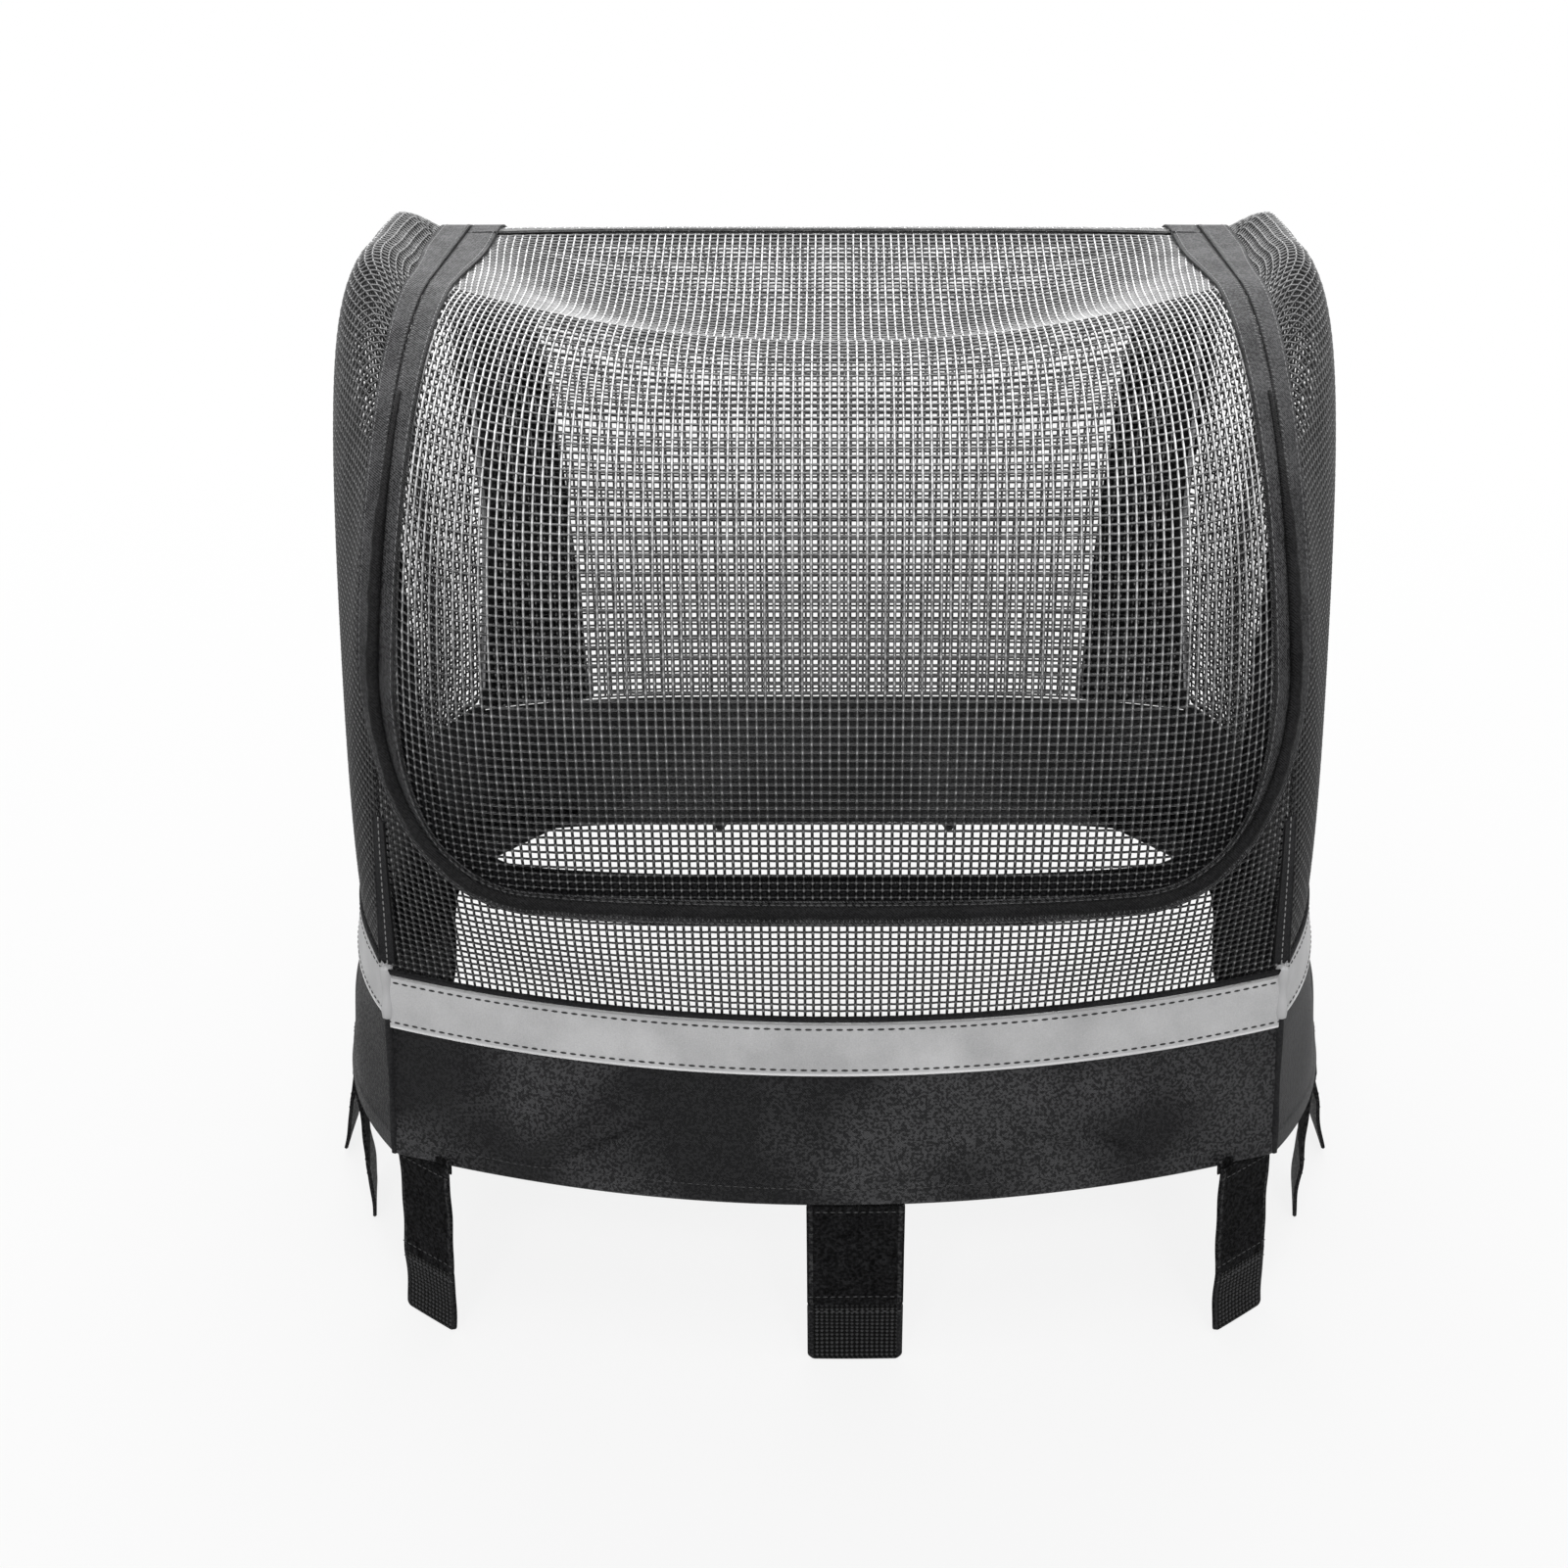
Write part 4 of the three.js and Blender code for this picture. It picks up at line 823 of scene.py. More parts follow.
LOOP_TAPES = {width: loop_cloth(width) for width in (SIDE_STRAP_WIDTH, FRONT_STRAP_WIDTH)}
HOOK_TAPES = {width: hook_cloth(width) for width in (SIDE_STRAP_WIDTH, FRONT_STRAP_WIDTH)}
COIL_NYLON = smooth_stuff("coil nylon", (0.010, 0.010, 0.011), 0.3)
THREAD = smooth_stuff("thread", (0.020, 0.020, 0.021), 0.6)
ZIP_THREAD = smooth_stuff("zip thread", (0.11, 0.11, 0.112), 0.6)
DARK_THREAD = smooth_stuff("dark thread", (0.010, 0.010, 0.010), 0.7)
PALE_THREAD = smooth_stuff("pale thread", (0.24, 0.24, 0.24), 0.6)
BLACK_METAL = smooth_stuff("black metal", (0.03, 0.03, 0.032), 0.35, metallic=0.7, wear=0.2)
SPRING_STEEL = smooth_stuff("spring steel", (0.45, 0.45, 0.46), 0.3, metallic=1.0, wear=0.2)
NET_TREE = net_tree()
STITCH_TREE = stitch_tree()
TUBE_TREE = tube_tree()

# Rows of thread: pitch, then one thread's size off the cloth, across the row and along it
COIL_ROW = 0.0024, (0.0004, 0.0017, 0.0005)
EDGE_ROW = 0.0030, (0.0004, 0.0004, 0.0021)
FOLD_ROW = 0.003, (0.0004, 0.0004, 0.002)
SEAM_ROW = 0.0032, (0.0005, 0.0006, 0.0023)
HEM_ROW = 0.0032, (0.0004, 0.0004, 0.0022)
TAPE_ROW = 0.0042, (0.0006, 0.0010, 0.0029)
STRAP_ROW = 0.003, (0.0005, 0.0005, 0.0022)


def stitches(name, path, lift, row, body, thread):
    """A row of threads, lifted over a line of places and normals."""
    points, normals = (part[:, 0] for part in path)
    pitch, size = row
    steps = np.arange(len(points) - 1)
    mesh = edge_mesh(name, points + normals * lift, np.stack([steps, steps + 1], 1), normals)
    piece = baked(name, mesh, STITCH_TREE, {"Pitch": pitch, "Size": size, "Yarn": thread})
    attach(piece, body)
    return piece


# Nets
def lattice(name, us, vs, place, inside):
    """A mesh of edges where inside(u, v) is above zero, cut where it crosses zero."""
    u, v = np.meshgrid(us, vs, indexing="ij")
    depth = inside(u, v)
    kept = depth > 0
    index = np.full(u.shape, -1)
    index[kept] = np.arange(kept.sum())
    column, row = np.indices(u.shape)
    vert_u, vert_v = [u[kept]], [v[kept]]
    ranks = [np.stack([column[kept], row[kept]], 1).astype(float)]
    over = [np.where((column + row) % 2 == 0, 1.0, -1.0)[kept]]
    edges, warps, count = [], [], int(kept.sum())
    for axis in (0, 1):
        a = (slice(0, -1), slice(None)) if axis == 0 else (slice(None), slice(0, -1))
        b = (slice(1, None), slice(None)) if axis == 0 else (slice(None), slice(1, None))
        both = kept[a] & kept[b]
        edges.append(np.stack([index[a][both], index[b][both]], 1))
        warps.append(np.full(both.sum(), axis == 1))
        for start, end in ((a, b), (b, a)):
            cut = kept[start] & ~kept[end]
            t = depth[start][cut] / (depth[start][cut] - depth[end][cut])
            vert_u.append(lerp(u[start][cut], u[end][cut], t))
            vert_v.append(lerp(v[start][cut], v[end][cut], t))
            place_start = np.stack([column[start][cut], row[start][cut]], 1)
            place_end = np.stack([column[end][cut], row[end][cut]], 1)
            ranks.append(lerp(place_start, place_end, t[:, None]))
            over.append(np.zeros(cut.sum()))
            edges.append(np.stack([index[start][cut], count + np.arange(cut.sum())], 1))
            warps.append(np.full(cut.sum(), axis == 1))
            count += int(cut.sum())
    points, normals = place(np.concatenate(vert_u), np.concatenate(vert_v))
    yarns = np.concatenate(over), np.concatenate(warps), np.concatenate(ranks)
    return edge_mesh(name, points, np.concatenate(edges), normals, *yarns)


def store(mesh, name, kind, domain, values):
    """Keeps one value for each point or edge of a mesh under a name."""
    field = "vector" if kind == "FLOAT_VECTOR" else "value"
    mesh.attributes.new(name, kind, domain).data.foreach_set(field, values.ravel())


def edge_mesh(name, points, edges, normals, over=None, warps=None, ranks=None):
    """A mesh of edges for a geometry tree, with the values that it reads."""
    mesh = bpy.data.meshes.new(name)
    mesh.vertices.add(len(points))
    mesh.vertices.foreach_set("co", points.astype(np.float32).ravel())
    mesh.edges.add(len(edges))
    mesh.edges.foreach_set("vertices", edges.astype(np.int32).ravel())
    store(mesh, "out", "FLOAT_VECTOR", "POINT", normals.astype(np.float32))
    if over is not None:
        store(mesh, "over", "FLOAT", "POINT", over.astype(np.float32))
        store(mesh, "warp", "BOOLEAN", "EDGE", warps.astype(bool))
        ranks = np.concatenate([ranks, np.zeros((len(ranks), 1))], 1)
        store(mesh, "rank", "FLOAT_VECTOR", "POINT", ranks.astype(np.float32))
    mesh.update()
    return mesh


ARC_REACH = 1.06
ARC_SAMPLES = 160
ARC_CHUNK = 4000


def across_at(distance, along):
    """Across value at a distance from the middle line, measured over the surface."""
    samples = np.linspace(0, ARC_REACH, ARC_SAMPLES)
    flat_d, flat_a = np.abs(distance).ravel(), np.asarray(along).ravel()
    found = np.empty(flat_d.shape)
    for start in range(0, len(flat_a), ARC_CHUNK):
        part = slice(start, start + ARC_CHUNK)
        length = arc_lengths(shell(samples[None, :], flat_a[part, None]), 1)
        rank = (length < flat_d[part, None]).sum(1).clip(1, ARC_SAMPLES - 1)
        rows = np.arange(len(rank))
        l0, l1 = length[rows, rank - 1], length[rows, rank]
        t = np.clip((flat_d[part] - l0) / (l1 - l0), 0, 1)
        found[part] = lerp(samples[rank - 1], samples[rank], t)
    return np.sign(distance) * found.reshape(distance.shape)


def net_place(distance, along):
    """Places and normals at a measured distance from the middle line."""
    return on_shell(across_at(distance, along), along)


EVEN_ACROSS = 0.45
EVEN_SAMPLES = 1500


def evenly(low, high):
    """Stations from low to high, one net pitch apart along a line of the shell."""
    along = np.linspace(low, high, EVEN_SAMPLES)
    length = arc_lengths(shell(EVEN_ACROSS, along))
    return np.interp(np.arange(NET_PITCH / 2, length[-1], NET_PITCH), length, along)


WARP_REACH = 0.212
WARPS = (np.arange(-int(WARP_REACH / NET_PITCH), int(WARP_REACH / NET_PITCH)) + 0.5) * NET_PITCH
NET_EDGE = 0.0045
ARCH_EDGE_SHARE = 0.8
FRONT_NET_SPAN = 0.001, 2.9985
REAR_NET_SPAN = 3.01, 5.999
FRONT_LINES = evenly(*FRONT_NET_SPAN)
REAR_LINES = evenly(*REAR_NET_SPAN)
DOOR_NET_LOWEST = 0.3
FRONT_NET_HIGHEST = 1.3


def arch_depth(distance, along, edge):
    """How far a place lies inside an arch, less the edge."""
    across = np.abs(across_at(distance, along))
    return (1 - across) * arch_at(along)[0] - edge * ARCH_EDGE_SHARE


def zip_depth(distance, along, edge):
    """How far a place of the front lies above the zip's lower line, less the edge."""
    points = shell(across_at(distance, along), along)
    x, z = np.abs(points[..., 0]), points[..., 2]
    reach, power = JOIN_X - DOOR_FLAT_HALF, DOOR_CORNER_POWER
    u = np.clip((x - DOOR_FLAT_HALF) / reach, 0, None)
    v = np.clip((JOIN_Z - z) / (JOIN_Z - CORNER_Z), 0, None)
    corner = (1 - (u**power + v**power) ** (1 / power)) * reach
    flat = z - (DOOR_LOW_Z + DOOR_CORNER_RISE * (x / DOOR_FLAT_HALF) ** 2)
    return np.where(x < DOOR_FLAT_HALF, flat, np.where(z > JOIN_Z, reach, corner)) - edge


def door_inside(distance, along):
    """How far places lie inside the door net's edge."""
    return np.minimum(arch_depth(distance, along, NET_EDGE), zip_depth(distance, along, NET_EDGE))


def front_inside(distance, along):
    """How far places lie inside the front net's edge."""
    below = -zip_depth(distance, along, -NET_EDGE)
    return np.minimum(arch_depth(distance, along, 0), below)


def rear_inside(distance, along):
    """How far places lie inside the rear net's edge."""
    return arch_depth(distance, along, NET_EDGE)


def net(name, mesh, body, node, dust_and_glint=1.0):
    """A woven net on a lattice."""
    ranks = np.empty(len(mesh.vertices) * 3, np.float32)
    mesh.attributes["rank"].data.foreach_get("vector", ranks)
    ranks = ranks.reshape(-1, 3)[:, :2]
    # The last argument is the strength of the painted glint on this net's yarns
    values = {"Width": YARN_WIDTH, "Depth": YARN_DEPTH, "Crimp": CRIMP, "Glint": dust_and_glint, "Yarn": NET_YARN}
    piece = place_on(baked(name, mesh, NET_TREE, values), body, "net", node)


def make_nets():
    """The door's net, the front one below it and the rear one."""
    door_lines = FRONT_LINES[FRONT_LINES > DOOR_NET_LOWEST]
    front_lines = FRONT_LINES[FRONT_LINES < FRONT_NET_HIGHEST]
    # The last value of each row is the strength of the painted glint on that net; the rear net's is raised
    # to stand in for light from behind
    for name, lines, inside, body, dust_and_glint in (
        ("door", door_lines, door_inside, "door", 1.0),
        ("front", front_lines, front_inside, "hood", 1.0),
        ("rear", REAR_LINES, rear_inside, "hood", REAR_GLINT),
    ):
        mesh = lattice(name, WARPS, lines, net_place, inside)
        net(f"{name}_net", mesh, body, f"{name}_mesh", dust_and_glint)


# Side nets
SIDE_WAIST_Z = SKIRT_HEIGHT + SIDE_RISE
SIDE_BEND = 1.5
SIDE_ALONG = np.concatenate([np.linspace(FRONT, SIDE_BEND, 30), np.linspace(SIDE_BEND, BACK, 170)[1:]])
SIDE_SHARE = np.linspace(0, 1, 110)
UNDER_BAND_END = 0.35
UNDER_BAND = np.linspace(1, UNDER_BAND_END, 8)[1:]
SIDE_REACH = 3 * NET_PITCH


def edge_at(along):
    """Places of the zip band's outer edge."""
    return shell(inward(along, -band_outer(along)), along)


def waist_side(y):
    """Half the waist's width at a depth."""
    share = np.clip((y - ARCH_Y[0]) / (ARCH_Y[-1] - ARCH_Y[0]), 0, 1)
    return ARCH_FOOT_HALF + WAIST_SIDE_BULGE * (1 - np.abs(2 * share - 1) ** BULGE_POWER)


def side_surface(along, share):
    """Places of the right side net: share is 0 at the waist and 1 at the band."""
    along, share = np.broadcast_arrays(along, share)
    top = edge_at(along)
    tx, ty, tz = top[..., 0], top[..., 1], top[..., 2]
    front_y, back_y = edge_at(np.array(FRONT))[1], edge_at(np.array(BACK))[1]
    front_shift = edge_at(np.array(0))[1] - front_y
    rear_shift = back_y - edge_at(np.array(END))[1]
    near_front = 1 - smoothstep(ty - front_y, 0, SHIFT_REACH)
    near_back = smoothstep(ty, ARCH_Y[-1] - SHIFT_REACH, back_y)
    foot_y = ty + front_shift * near_front - rear_shift * near_back
    foot_x = waist_side(foot_y)
    height = tz - SIDE_WAIST_Z
    start, full, fade, end = BULGE_Y
    bulge = smoothstep(ty, start, full) * (1 - smoothstep(ty, fade, end))
    belly = lerp(foot_x + BELLY_BULGE * bulge, tx - REAR_PINCH, smoothstep(ty, *REAR_PINCH_Y))
    xs = foot_x, belly, tx + SHOULDER_BULGE + EAR_BULGE * bulge, tx
    knee = SIDE_WAIST_Z + LOW_KNOT * height
    shoulder = lerp(SIDE_WAIST_Z + HIGH_KNOT * height, tz + EAR_RISE, bulge)
    zs = SIDE_WAIST_Z + 0 * height, knee, shoulder, tz
    weights = (1 - share) ** 3, 3 * share * (1 - share) ** 2, 3 * share**2 * (1 - share), share**3
    x = sum(w * p for w, p in zip(weights, xs))
    z = sum(w * p for w, p in zip(weights, zs))
    climb = np.clip((z - SIDE_WAIST_Z) / height, 0, 1)
    point = np.stack([x, lerp(foot_y, ty, np.sin(climb * np.pi / 2)), z], -1)
    front = (1 - smoothstep(along, FRONT, FRONT + LEG_BLEND))[..., None]
    back = smoothstep(along, BACK - LEG_BLEND, BACK)[..., None]
    front_leg = edge_at(lerp(SIDE_RISE / (ARCH_Z[FRONT] - ARCH_Z[0]), FRONT, share))
    back_leg = edge_at(lerp(END - SIDE_RISE / (ARCH_Z[BACK] - ARCH_Z[END]), BACK, share))
    return lerp(lerp(point, front_leg, front), back_leg, back)


def side_columns():
    """The side's surface, then the upright lines of its net, one net pitch apart in depth."""
    surface = side_surface(SIDE_ALONG[:, None], SIDE_SHARE[None, :])
    below = -band_outer(SIDE_ALONG)[:, None] * UNDER_BAND[None, :]
    flange = shell(inward(SIDE_ALONG[:, None], below), SIDE_ALONG[:, None])
    surface = np.concatenate([surface, flange], 1)
    low_y, high_y = surface[..., 1].min(), surface[..., 1].max()
    columns = []
    for y in np.arange(low_y + NET_PITCH / 3, high_y, NET_PITCH):
        line = []
        for row in surface.transpose(1, 0, 2):
            if row[0, 1] <= y <= row[-1, 1]:
                line.append([np.interp(y, row[:, 1], row[:, k]) for k in range(3)])
        columns.append(np.array(line))
    return surface, columns


def side_lattice():
    """Places, edges, normals and yarn values of the right side's net."""
    surface, columns = side_columns()
    points, index, edges, warps, over, ranks = [], {}, [], [], [], []
    for i, line in enumerate(columns):
        if len(line) < 3:
            continue
        length = arc_lengths(line) + line[0, 2] - SIDE_WAIST_Z
        first, last = math.ceil(length[0] / NET_PITCH), math.floor(length[-1] / NET_PITCH)
        for j in range(first, last + 1):
            index[i, j] = len(points)
            points.append([np.interp(j * NET_PITCH, length, line[:, k]) for k in range(3)])
            over.append(1.0 if (i + j) % 2 == 0 else -1.0)
            ranks.append((float(i), float(j)))
            for before, warp in (((i, j - 1), True), ((i - 1, j), False)):
                if before in index:
                    edges.append((index[before], index[i, j]))
                    warps.append(warp)
    for column, nearest_of in ((surface[0], min), (surface[-1], max)):
        rising = np.maximum.accumulate(column[:, 2])
        for j in range(0, int((rising[-1] - SIDE_WAIST_Z) / NET_PITCH) + 1):
            level = [i for i, row in index if row == j]
            if not level:
                continue
            near = nearest_of(level)
            spot = [np.interp(SIDE_WAIST_Z + j * NET_PITCH, rising, column[:, k]) for k in range(3)]
            if np.linalg.norm(np.array(spot) - points[index[near, j]]) > SIDE_REACH:
                continue
            points.append(spot)
            over.append(0.0)
            ranks.append((near + 0.5, float(j)))
            edges.append((len(points) - 1, index[near, j]))
            warps.append(False)
    points = np.array(points)
    flat = surface.reshape(-1, 3)
    normals = unit(np.cross(np.gradient(surface, axis=0), np.gradient(surface, axis=1)))
    normals = outwards(normals.reshape(-1, 3), flat)[nearest(flat, points)]
    return points, np.array(edges), normals, np.array(over), np.array(warps), np.array(ranks)


def nearest(cloud, points):
    """The number of the cloud's place that is nearest to each point."""
    tree = KDTree(len(cloud))
    for k, place in enumerate(cloud):
        tree.insert(place, k)
    tree.balance()
    return np.array([tree.find(p)[1] for p in points])


def mirrored(grid, side):
    """Places and normals as they are for side 1, and on the other side for -1."""
    return tuple(part * np.array([side, 1, 1]) for part in grid)


def make_side_nets():
    """The left and the right net, from one lattice."""
    points, edges, normals, *yarns = side_lattice()
    for name, side in SIDES:
        places, out = mirrored((points, normals), side)
        mesh = edge_mesh(name, places, edges, out, *yarns)
        net(f"side_net_{name}", mesh, "hood", f"side_mesh_{name}", SIDE_GLINT)


# Closed sheets with round edges
def sheet_mesh(name, points, normals, low, high):
    """A closed sheet between two lifts over a grid of places, with its edges rounded outwards."""
    rows, columns = points.shape[:2]
    across = points[:, 1:] - points[:, :-1]
    along = points[1:] - points[:-1]
    push = np.zeros_like(points)
    push[:, 0] -= unit(across[:, 0])
    push[:, -1] += unit(across[:, -1])
    push[0] -= unit(along[0])
    push[-1] += unit(along[-1])
    upper = points + normals * high
    lower = points + normals * low
    middle = points + normals * (low + high) / 2 + unit(push) * (0.5 * (high - low))
    ring = ring_of(rows, columns)
    count = rows * columns
    places = np.concatenate([upper.reshape(-1, 3), lower.reshape(-1, 3), middle.reshape(-1, 3)[ring]])
    grid = np.arange(count).reshape(rows, columns)
    a, b, c, d = (part.ravel() for part in (grid[:-1, :-1], grid[1:, :-1], grid[1:, 1:], grid[:-1, 1:]))
    here = np.arange(len(ring))
    after = np.roll(here, -1)
    rim, next_rim = 2 * count + here, 2 * count + after
    faces = np.concatenate([
        np.stack([a, b, c, d], 1),
        np.stack([a, d, c, b], 1) + count,
        np.stack([ring[after], ring[here], rim, next_rim], 1),
        np.stack([next_rim, rim, ring[here] + count, ring[after] + count], 1),
    ])
    uv = np.stack([arc_lengths(points, 1), arc_lengths(points, 0)], -1).reshape(-1, 2)
    return plain_mesh(name, places, faces, np.concatenate([uv, uv, uv[ring]]))


def hang(points):
    """Measures the size of the grid that a piece of cloth was made from, and keeps nothing of it."""
    width, length = arc_lengths(points, 1)[:, -1].max(), arc_lengths(points, 0)[-1].max()
    first, second = points[1:, 1:] - points[:-1, :-1], points[1:, :-1] - points[:-1, 1:]
    area = np.linalg.norm(np.cross(first, second), axis=-1).sum() / 2
    area = min(float(area), float(width * length))


def ring_of(rows, columns):
    """The grid's border, once around."""
    grid = np.arange(rows * columns).reshape(rows, columns)
    return np.concatenate([grid[0, :-1], grid[:-1, -1], grid[-1, :0:-1], grid[:0:-1, 0]])


def plain_mesh(name, places, faces, uvs=None):
    """A smooth mesh of quads, turned so that it faces outwards."""
    first, second, third, fourth = (places[faces[:, k]] for k in range(4))
    volume = np.sum(first * np.cross(second, third)) + np.sum(first * np.cross(third, fourth))
    if volume < 0:
        faces = faces[:, ::-1]
    mesh = bpy.data.meshes.new(name)
    mesh.vertices.add(len(places))
    mesh.vertices.foreach_set("co", places.astype(np.float32).ravel())
    mesh.loops.add(faces.size)
    mesh.loops.foreach_set("vertex_index", faces.astype(np.int32).ravel())
    mesh.polygons.add(len(faces))
    mesh.polygons.foreach_set("loop_start", np.arange(0, faces.size, 4, dtype=np.int32))
    mesh.polygons.foreach_set("use_smooth", np.ones(len(faces), bool))
    if uvs is not None:
        layer = mesh.uv_layers.new(name=CLOTH_UV)
        layer.data.foreach_set("uv", uvs[faces.ravel()].astype(np.float32).ravel())
    mesh.update(calc_edges=True)
    return mesh


def add_mesh(name, mesh, material):
    """A mesh in its material, as an object of the scene."""
    piece = bpy.data.objects.new(name, mesh)
    bpy.context.scene.collection.objects.link(piece)
    mesh.materials.append(material)
    return piece


def add_piece(name, mesh, material, body, slot, *nodes):
    """A mesh in its material, as a finished piece."""
    return place_on(add_mesh(name, mesh, material), body, slot, *nodes)


def cloth(name, grid, layer, material, body, slot, *nodes):
    """A closed sheet in a layer over a grid of places and normals, as a finished piece."""
    return add_piece(name, sheet_mesh(name, *grid, *layer), material, body, slot, *nodes)


TIP_SHARE = 0.8


def tube_mesh(name, places, normals, radii, flat, sides):
    """A closed tube with round ends along a line, squeezed towards the surface by flat."""
    ahead = unit(np.gradient(places, axis=0))
    up = unit(normals - ahead * np.sum(normals * ahead, -1, keepdims=True))
    aside = np.cross(ahead, up)
    turns = 2 * np.pi * np.arange(sides) / sides
    wheel = up[:, None] * np.cos(turns)[:, None] * flat + aside[:, None] * np.sin(turns)[:, None]
    rings = places[:, None] + wheel * np.asarray(radii)[:, None, None]
    count = len(places)
    body = rings.reshape(-1, 3)
    grid = np.arange(count * sides).reshape(count, sides)
    after = np.roll(grid, -1, axis=1)
    faces = np.stack([grid[:-1], after[:-1], after[1:], grid[1:]], -1).reshape(-1, 4)
    first = places[0] - ahead[0] * radii[0] * TIP_SHARE
    last = places[-1] + ahead[-1] * radii[-1] * TIP_SHARE
    caps = []
    for tip, ring in ((0, grid[0]), (1, grid[-1])):
        center = count * sides + tip
        pairs = ring.reshape(-1, 2)
        nexts = np.roll(ring, -2).reshape(-1, 2)[:, 0]
        quad = np.stack([pairs[:, 0], pairs[:, 1], nexts, np.full(len(pairs), center)], 1)
        caps.append(quad if tip else quad[:, ::-1])
    body = np.concatenate([body, np.array([first, last])])
    return plain_mesh(name, body, np.concatenate([faces, *caps]))


def beside_zip(rows, distances, lowest=None):
    """Places and normals beside the zip: one row for each of its rows, one column for each distance."""
    kind, value, side = (part[:, None] for part in rows)
    distances = np.atleast_1d(distances)
    lowest = distances if lowest is None else np.atleast_1d(lowest)
    return on_shell(*zip_place(kind, value, side, distances, lowest))


# Zip and door trim
DOOR_TOP = HINGE - PLAY / (ARCH_Y[HINGE] - ARCH_Y[RIDGE])
BODY_TOP = HINGE + PLAY / (ARCH_Y[REAR_ARC] - ARCH_Y[HINGE])
DOOR_ROWS = zip_path(DOOR_TOP)
BODY_ROWS = zip_path(ZIP_END)
TAPE_STOPS = np.linspace(0, 1, 8)
SKIN = SKIN_LOW, SKIN_HIGH
UNDER_SKIN = -SKIN_HIGH, -SKIN_LOW
# Rows of thread: how far they run from the zip's line, and from its low part
COIL_ROW_AWAY = 0.0022
EDGE_ROW_AWAY = 0.0122
EDGE_ROW_LOW_DOOR = 0.0052
EDGE_ROW_LOW_BODY = 0.0040
# Coils
COIL_INSET = 0.00155
COIL_WIDE = 0.00145
COIL_HIGH = 0.0008
COIL_PITCH = 0.0016
COIL_TURN_POINTS = 8
COIL_THREAD = 0.00022
COIL_LIFT = SKIN_LOW - PLAY - 0.001
# Rolled fold
PIPING_RADIUS = 0.0025
PIPING_INSET = 0.0035
PIPING_TOP = 1.62
PIPING_FLAT = 0.9
PIPING_SIDES = 16
PIPING_END_SHARE = 0.3
PIPING_FADE = 0.075
PIPING_SLOW_WAVE = 0.05, 260
PIPING_FAST_WAVE = 0.04, 610
FOLD_ROW_AWAY = 0.0036
FOLD_ROW_LOW = 0.0059
# Cloth at the hinge line
HINGE_BINDING_WIDTH = 0.006
HINGE_FOLD_REACH = 0.005
HINGE_FOLD_INSET = 0.005
HINGE_FOLD_TURN = 0.0028
HINGE_FOLD_ROWS = 17
# Facing behind the door net's low edge
DOOR_FACING = 0.0125
FACING_LAP = 0.0025
DOOR_FACING_TOP = 1.35
DOOR_FACING_COLUMNS = 6
# Rows and columns of the smaller sheets
END_TAPE_ROWS = 40
ROOF_COLUMNS = 90
HINGE_BINDING_ROWS = 5
CORNER_BINDING_ROWS, CORNER_BINDING_COLUMNS = 50, 8
WAIST_BINDING_ROWS, WAIST_BINDING_COLUMNS = 4, 150
# Bindings along the corners and the waist
CORNER_SEAM = 0.0008
CORNER_BINDING_LAP = -0.7
SIDE_BINDING_STATIONS = 1.05, 4.89
SIDE_BINDING_PROBE = 0.15
FRONT_HEIGHT = ARCH_Z[FRONT] - SKIRT_HEIGHT


def make_zip_tapes():
    """The zip's two tapes, with their rows of stitches."""
    for name, rows, sign, lowest, edge_low, body in (
        ("door", DOOR_ROWS, 1, ZIP_LOW_DOOR, EDGE_ROW_LOW_DOOR, "door"),
        ("body", BODY_ROWS, -1, ZIP_LOW_BODY, EDGE_ROW_LOW_BODY, "hood"),
    ):
        slit = sign * ZIP_SLIT
        low = lerp(slit, sign * lowest, TAPE_STOPS)
        grid = beside_zip(rows, lerp(slit, sign * ZIP_HALF, TAPE_STOPS), low)
        node = f"zip_tape_{name}"
        tape = cloth(f"{node}_cloth", grid, SKIN, ZIP_TAPE, body, "zip_tape", node)
        for label, away, row_low, row in (
            ("coil", COIL_ROW_AWAY, COIL_ROW_AWAY, COIL_ROW),
            ("edge", EDGE_ROW_AWAY, edge_low, EDGE_ROW),
        ):
            path = beside_zip(rows, sign * away, sign * row_low)
            name_of_row = f"zip_{label}_stitches_{name}"
            stitches(name_of_row, path, SKIN_HIGH, row, body, ZIP_THREAD)
        hang(grid[0])


def make_end_tapes():
    """The tapes of the zip's rear ends, beyond the door."""
    along = np.linspace(BODY_TOP, ZIP_END, END_TAPE_ROWS)[:, None]
    for name, side in SIDES:
        across = side * inward(along, lerp(ZIP_SLIT, ZIP_HALF, TAPE_STOPS))
        grid = on_shell(across, along)
        node = f"zip_end_tape_{name}"
        tape = cloth(f"{node}_cloth", grid, SKIN, ZIP_TAPE, "hood", "zip_tape", node)
        hang(grid[0])


def coil_mesh(name, rows, sign):
    """The centre line of a coil sewn under the tape, as a path of edges."""
    points, normals = (part[:, 0] for part in beside_zip(rows, sign * COIL_INSET))
    aside = np.cross(unit(np.gradient(points, axis=0)), normals)
    length = arc_lengths(points)
    at = np.linspace(0, length[-1], int(length[-1] / COIL_PITCH * COIL_TURN_POINTS))
    turn = 2 * np.pi * (at / COIL_PITCH + (0.5 if sign > 0 else 0))
    lift = COIL_LIFT + COIL_HIGH * np.sin(turn)

    def spread(table):
        return np.stack([np.interp(at, length, table[:, k]) for k in range(3)], 1)

    places = spread(points) + spread(aside) * (COIL_WIDE * np.cos(turn))[:, None]
    places += spread(normals) * lift[:, None]
    edges = np.stack([np.arange(len(at) - 1), np.arange(1, len(at))], 1)
    return edge_mesh(name, places, edges, spread(normals))


